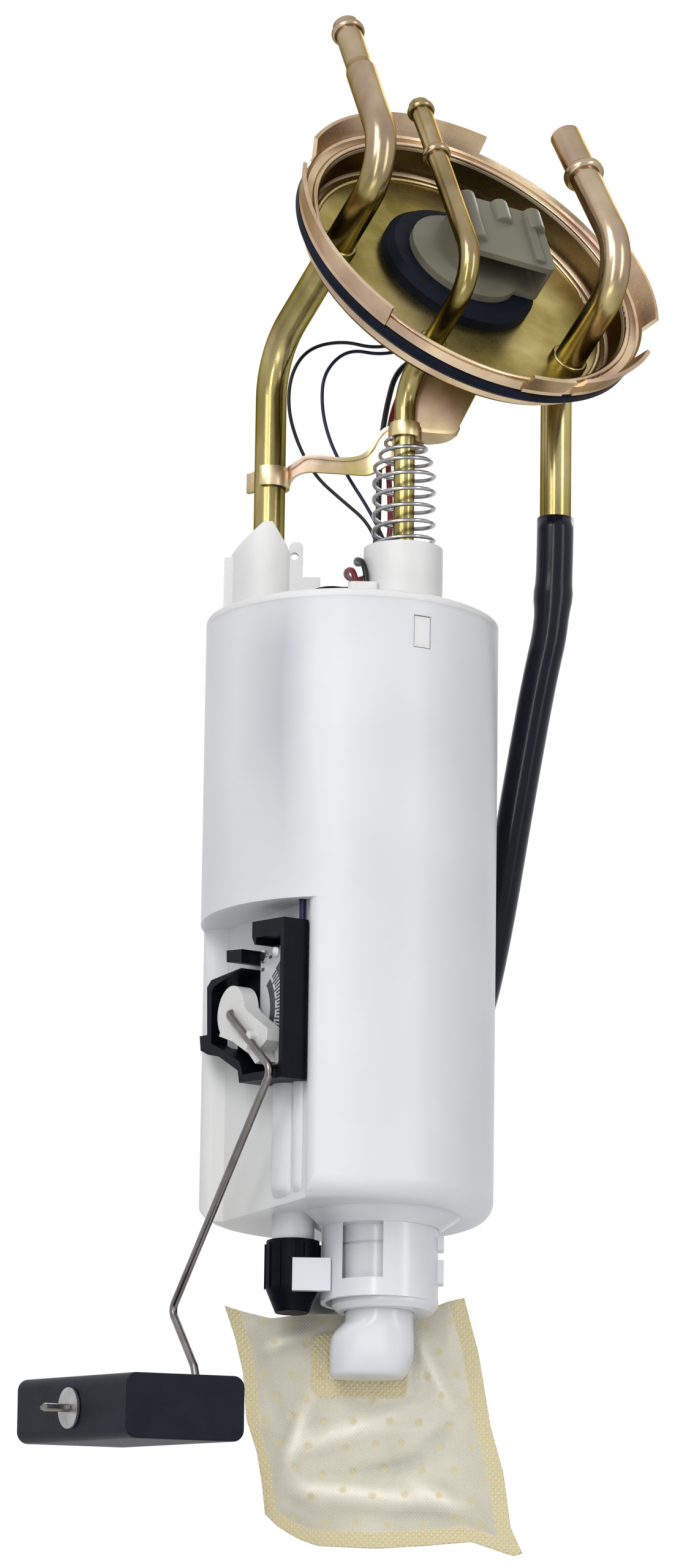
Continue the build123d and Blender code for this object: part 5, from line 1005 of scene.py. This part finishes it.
def felt_material():
    """Cream felt: greyish, mottled bag with a fine weave, yellower where it is welded or pressed, with
    painted light on the folds' crests and painted shade in their hollows.
    """
    material, tree, shader = new_material("sock_felt")
    marks_and_fold_shade = tree.nodes.new("ShaderNodeAttribute")
    marks_and_fold_shade.attribute_name = "marks_and_fold_shade"
    parts = tree.nodes.new("ShaderNodeSeparateColor")
    tree.links.new(marks_and_fold_shade.outputs["Color"], parts.inputs["Color"])
    dots, hem, weld, fold_light_and_shade = [*parts.outputs, marks_and_fold_shade.outputs["Alpha"]]
    cloth = ramp_node(tree, noise_node(tree, 24.0, detail=4.0), FELT_TONES)
    # Painted light on the folds' crests and painted shade in their hollows.
    cloth = blend_colour(tree, span_node(tree, fold_light_and_shade, 0.55, 1.0, 0.0, 0.8), cloth, PAINTED_CREST_LIGHT)
    cloth = blend_colour(tree, span_node(tree, fold_light_and_shade, 0.45, 0.05, 0.0, 0.6), cloth, PAINTED_HOLLOW_SHADE)
    cloth = blend_colour(tree, span_node(tree, dots, 0.0, 1.0, 0.0, 0.7), cloth, PRESSED_TONE)
    weave, waffle = crossed_ridges(tree, WEAVE_PITCH), crossed_ridges(tree, QUILT_PITCH)
    welded = math_node(tree, hem, weld)
    cloth = blend_colour(tree, welded, cloth, blend_colour(tree, waffle, *QUILT_TONES))
    tree.links.new(cloth, shader.inputs["Base Color"])
    relief = tree.nodes.new("ShaderNodeMix")
    relief.data_type = "FLOAT"
    tree.links.new(welded, relief.inputs["Factor"])
    tree.links.new(span_node(tree, weave, 0.0, 1.0, 0.0, 0.25), relief.inputs["A"])
    tree.links.new(waffle, relief.inputs["B"])
    fibre = span_node(tree, noise_node(tree, 2600.0, detail=2.0), 0.0, 1.0, 0.0, 0.12)
    bump_node(tree, math_node(tree, relief.outputs["Result"], fibre), 0.8, 0.5 * MM, shader)
    set_inputs(shader, {"Roughness": 0.62, "Sheen Weight": 0.15, "Specular IOR Level": 0.35})
    let_light_in(shader, 0.08, FELT_RADIUS)
    return material


make_sock()


# ---------------- studio
AMBIENT = 0.38                # strength of the white surround on the surfaces it lights
FLOOR_Z, FLOOR_HALF = -1.15, 6
FLOOR_GLOW = 0.42             # lifts the floor to a pale tone for camera, mirror and glass rays alone
LAMP_AIM = Vector((-0.035, 0.0, -0.16))
LAMPS = [       # name, place, width and height, watts
    ("key", (-0.75, -1.15, 0.75), (0.55, 0.9), 9.5), ("fill", (1.05, -0.85, 0.05), (0.30, 1.1), 4.3),
    ("strip", (-0.28, -1.35, 0.05), (0.09, 1.3), 5.5), ("low", (-0.1, -1.2, -0.95), (0.8, 0.3), 2.0),
    ("back", (0.3, 1.1, 0.7), (0.9, 0.6), 7.0)]


def show_white(tree):
    """1 for rays that should see the white surround: camera, mirror and glass rays."""
    path = tree.nodes.new("ShaderNodeLightPath")
    total = path.outputs["Is Camera Ray"]
    for kind in ("Is Glossy Ray", "Is Transmission Ray"):
        total = math_node(tree, total, path.outputs[kind], "MAXIMUM")
    return total


def make_world():
    world = bpy.data.worlds.new("studio")
    bpy.context.scene.world = world
    world.use_nodes = True
    tree = world.node_tree
    background = tree.nodes["Background"]
    background.inputs["Color"].default_value = (1.0, 1.0, 1.0, 1.0)
    strength = span_node(tree, show_white(tree), 0.0, 1.0, AMBIENT, 1.0)
    tree.links.new(strength, background.inputs["Strength"])


def make_floor():
    corners = [(x * FLOOR_HALF, y * FLOOR_HALF, FLOOR_Z) for x, y in ((-1, -1), (1, -1), (1, 1), (-1, 1))]
    floor = mesh_object("floor", corners, [(0, 1, 2, 3)], smooth=False)
    paper = plain("floor_paper", (0.86, 0.86, 0.86), (0.88, 0.88, 0.88), 0.9)
    tree = paper.node_tree
    shader = tree.nodes["Principled BSDF"]
    shader.inputs["Emission Color"].default_value = (1.0, 1.0, 1.0, 1.0)
    glow = span_node(tree, show_white(tree), 0.0, 1.0, 0.0, FLOOR_GLOW)
    tree.links.new(glow, shader.inputs["Emission Strength"])
    dress(floor, paper)


def make_lamps():
    for name, place, size, power in LAMPS:
        data = bpy.data.lights.new(name, "AREA")
        data.shape = "RECTANGLE"
        data.size, data.size_y = size
        data.energy = power
        lamp = bpy.data.objects.new(name, data)
        bpy.context.scene.collection.objects.link(lamp)
        lamp.location = place
        lamp.rotation_euler = (LAMP_AIM - Vector(place)).to_track_quat("-Z", "Y").to_euler()


make_world()
make_floor()
make_lamps()
bpy.context.scene.view_settings.view_transform = "Standard"
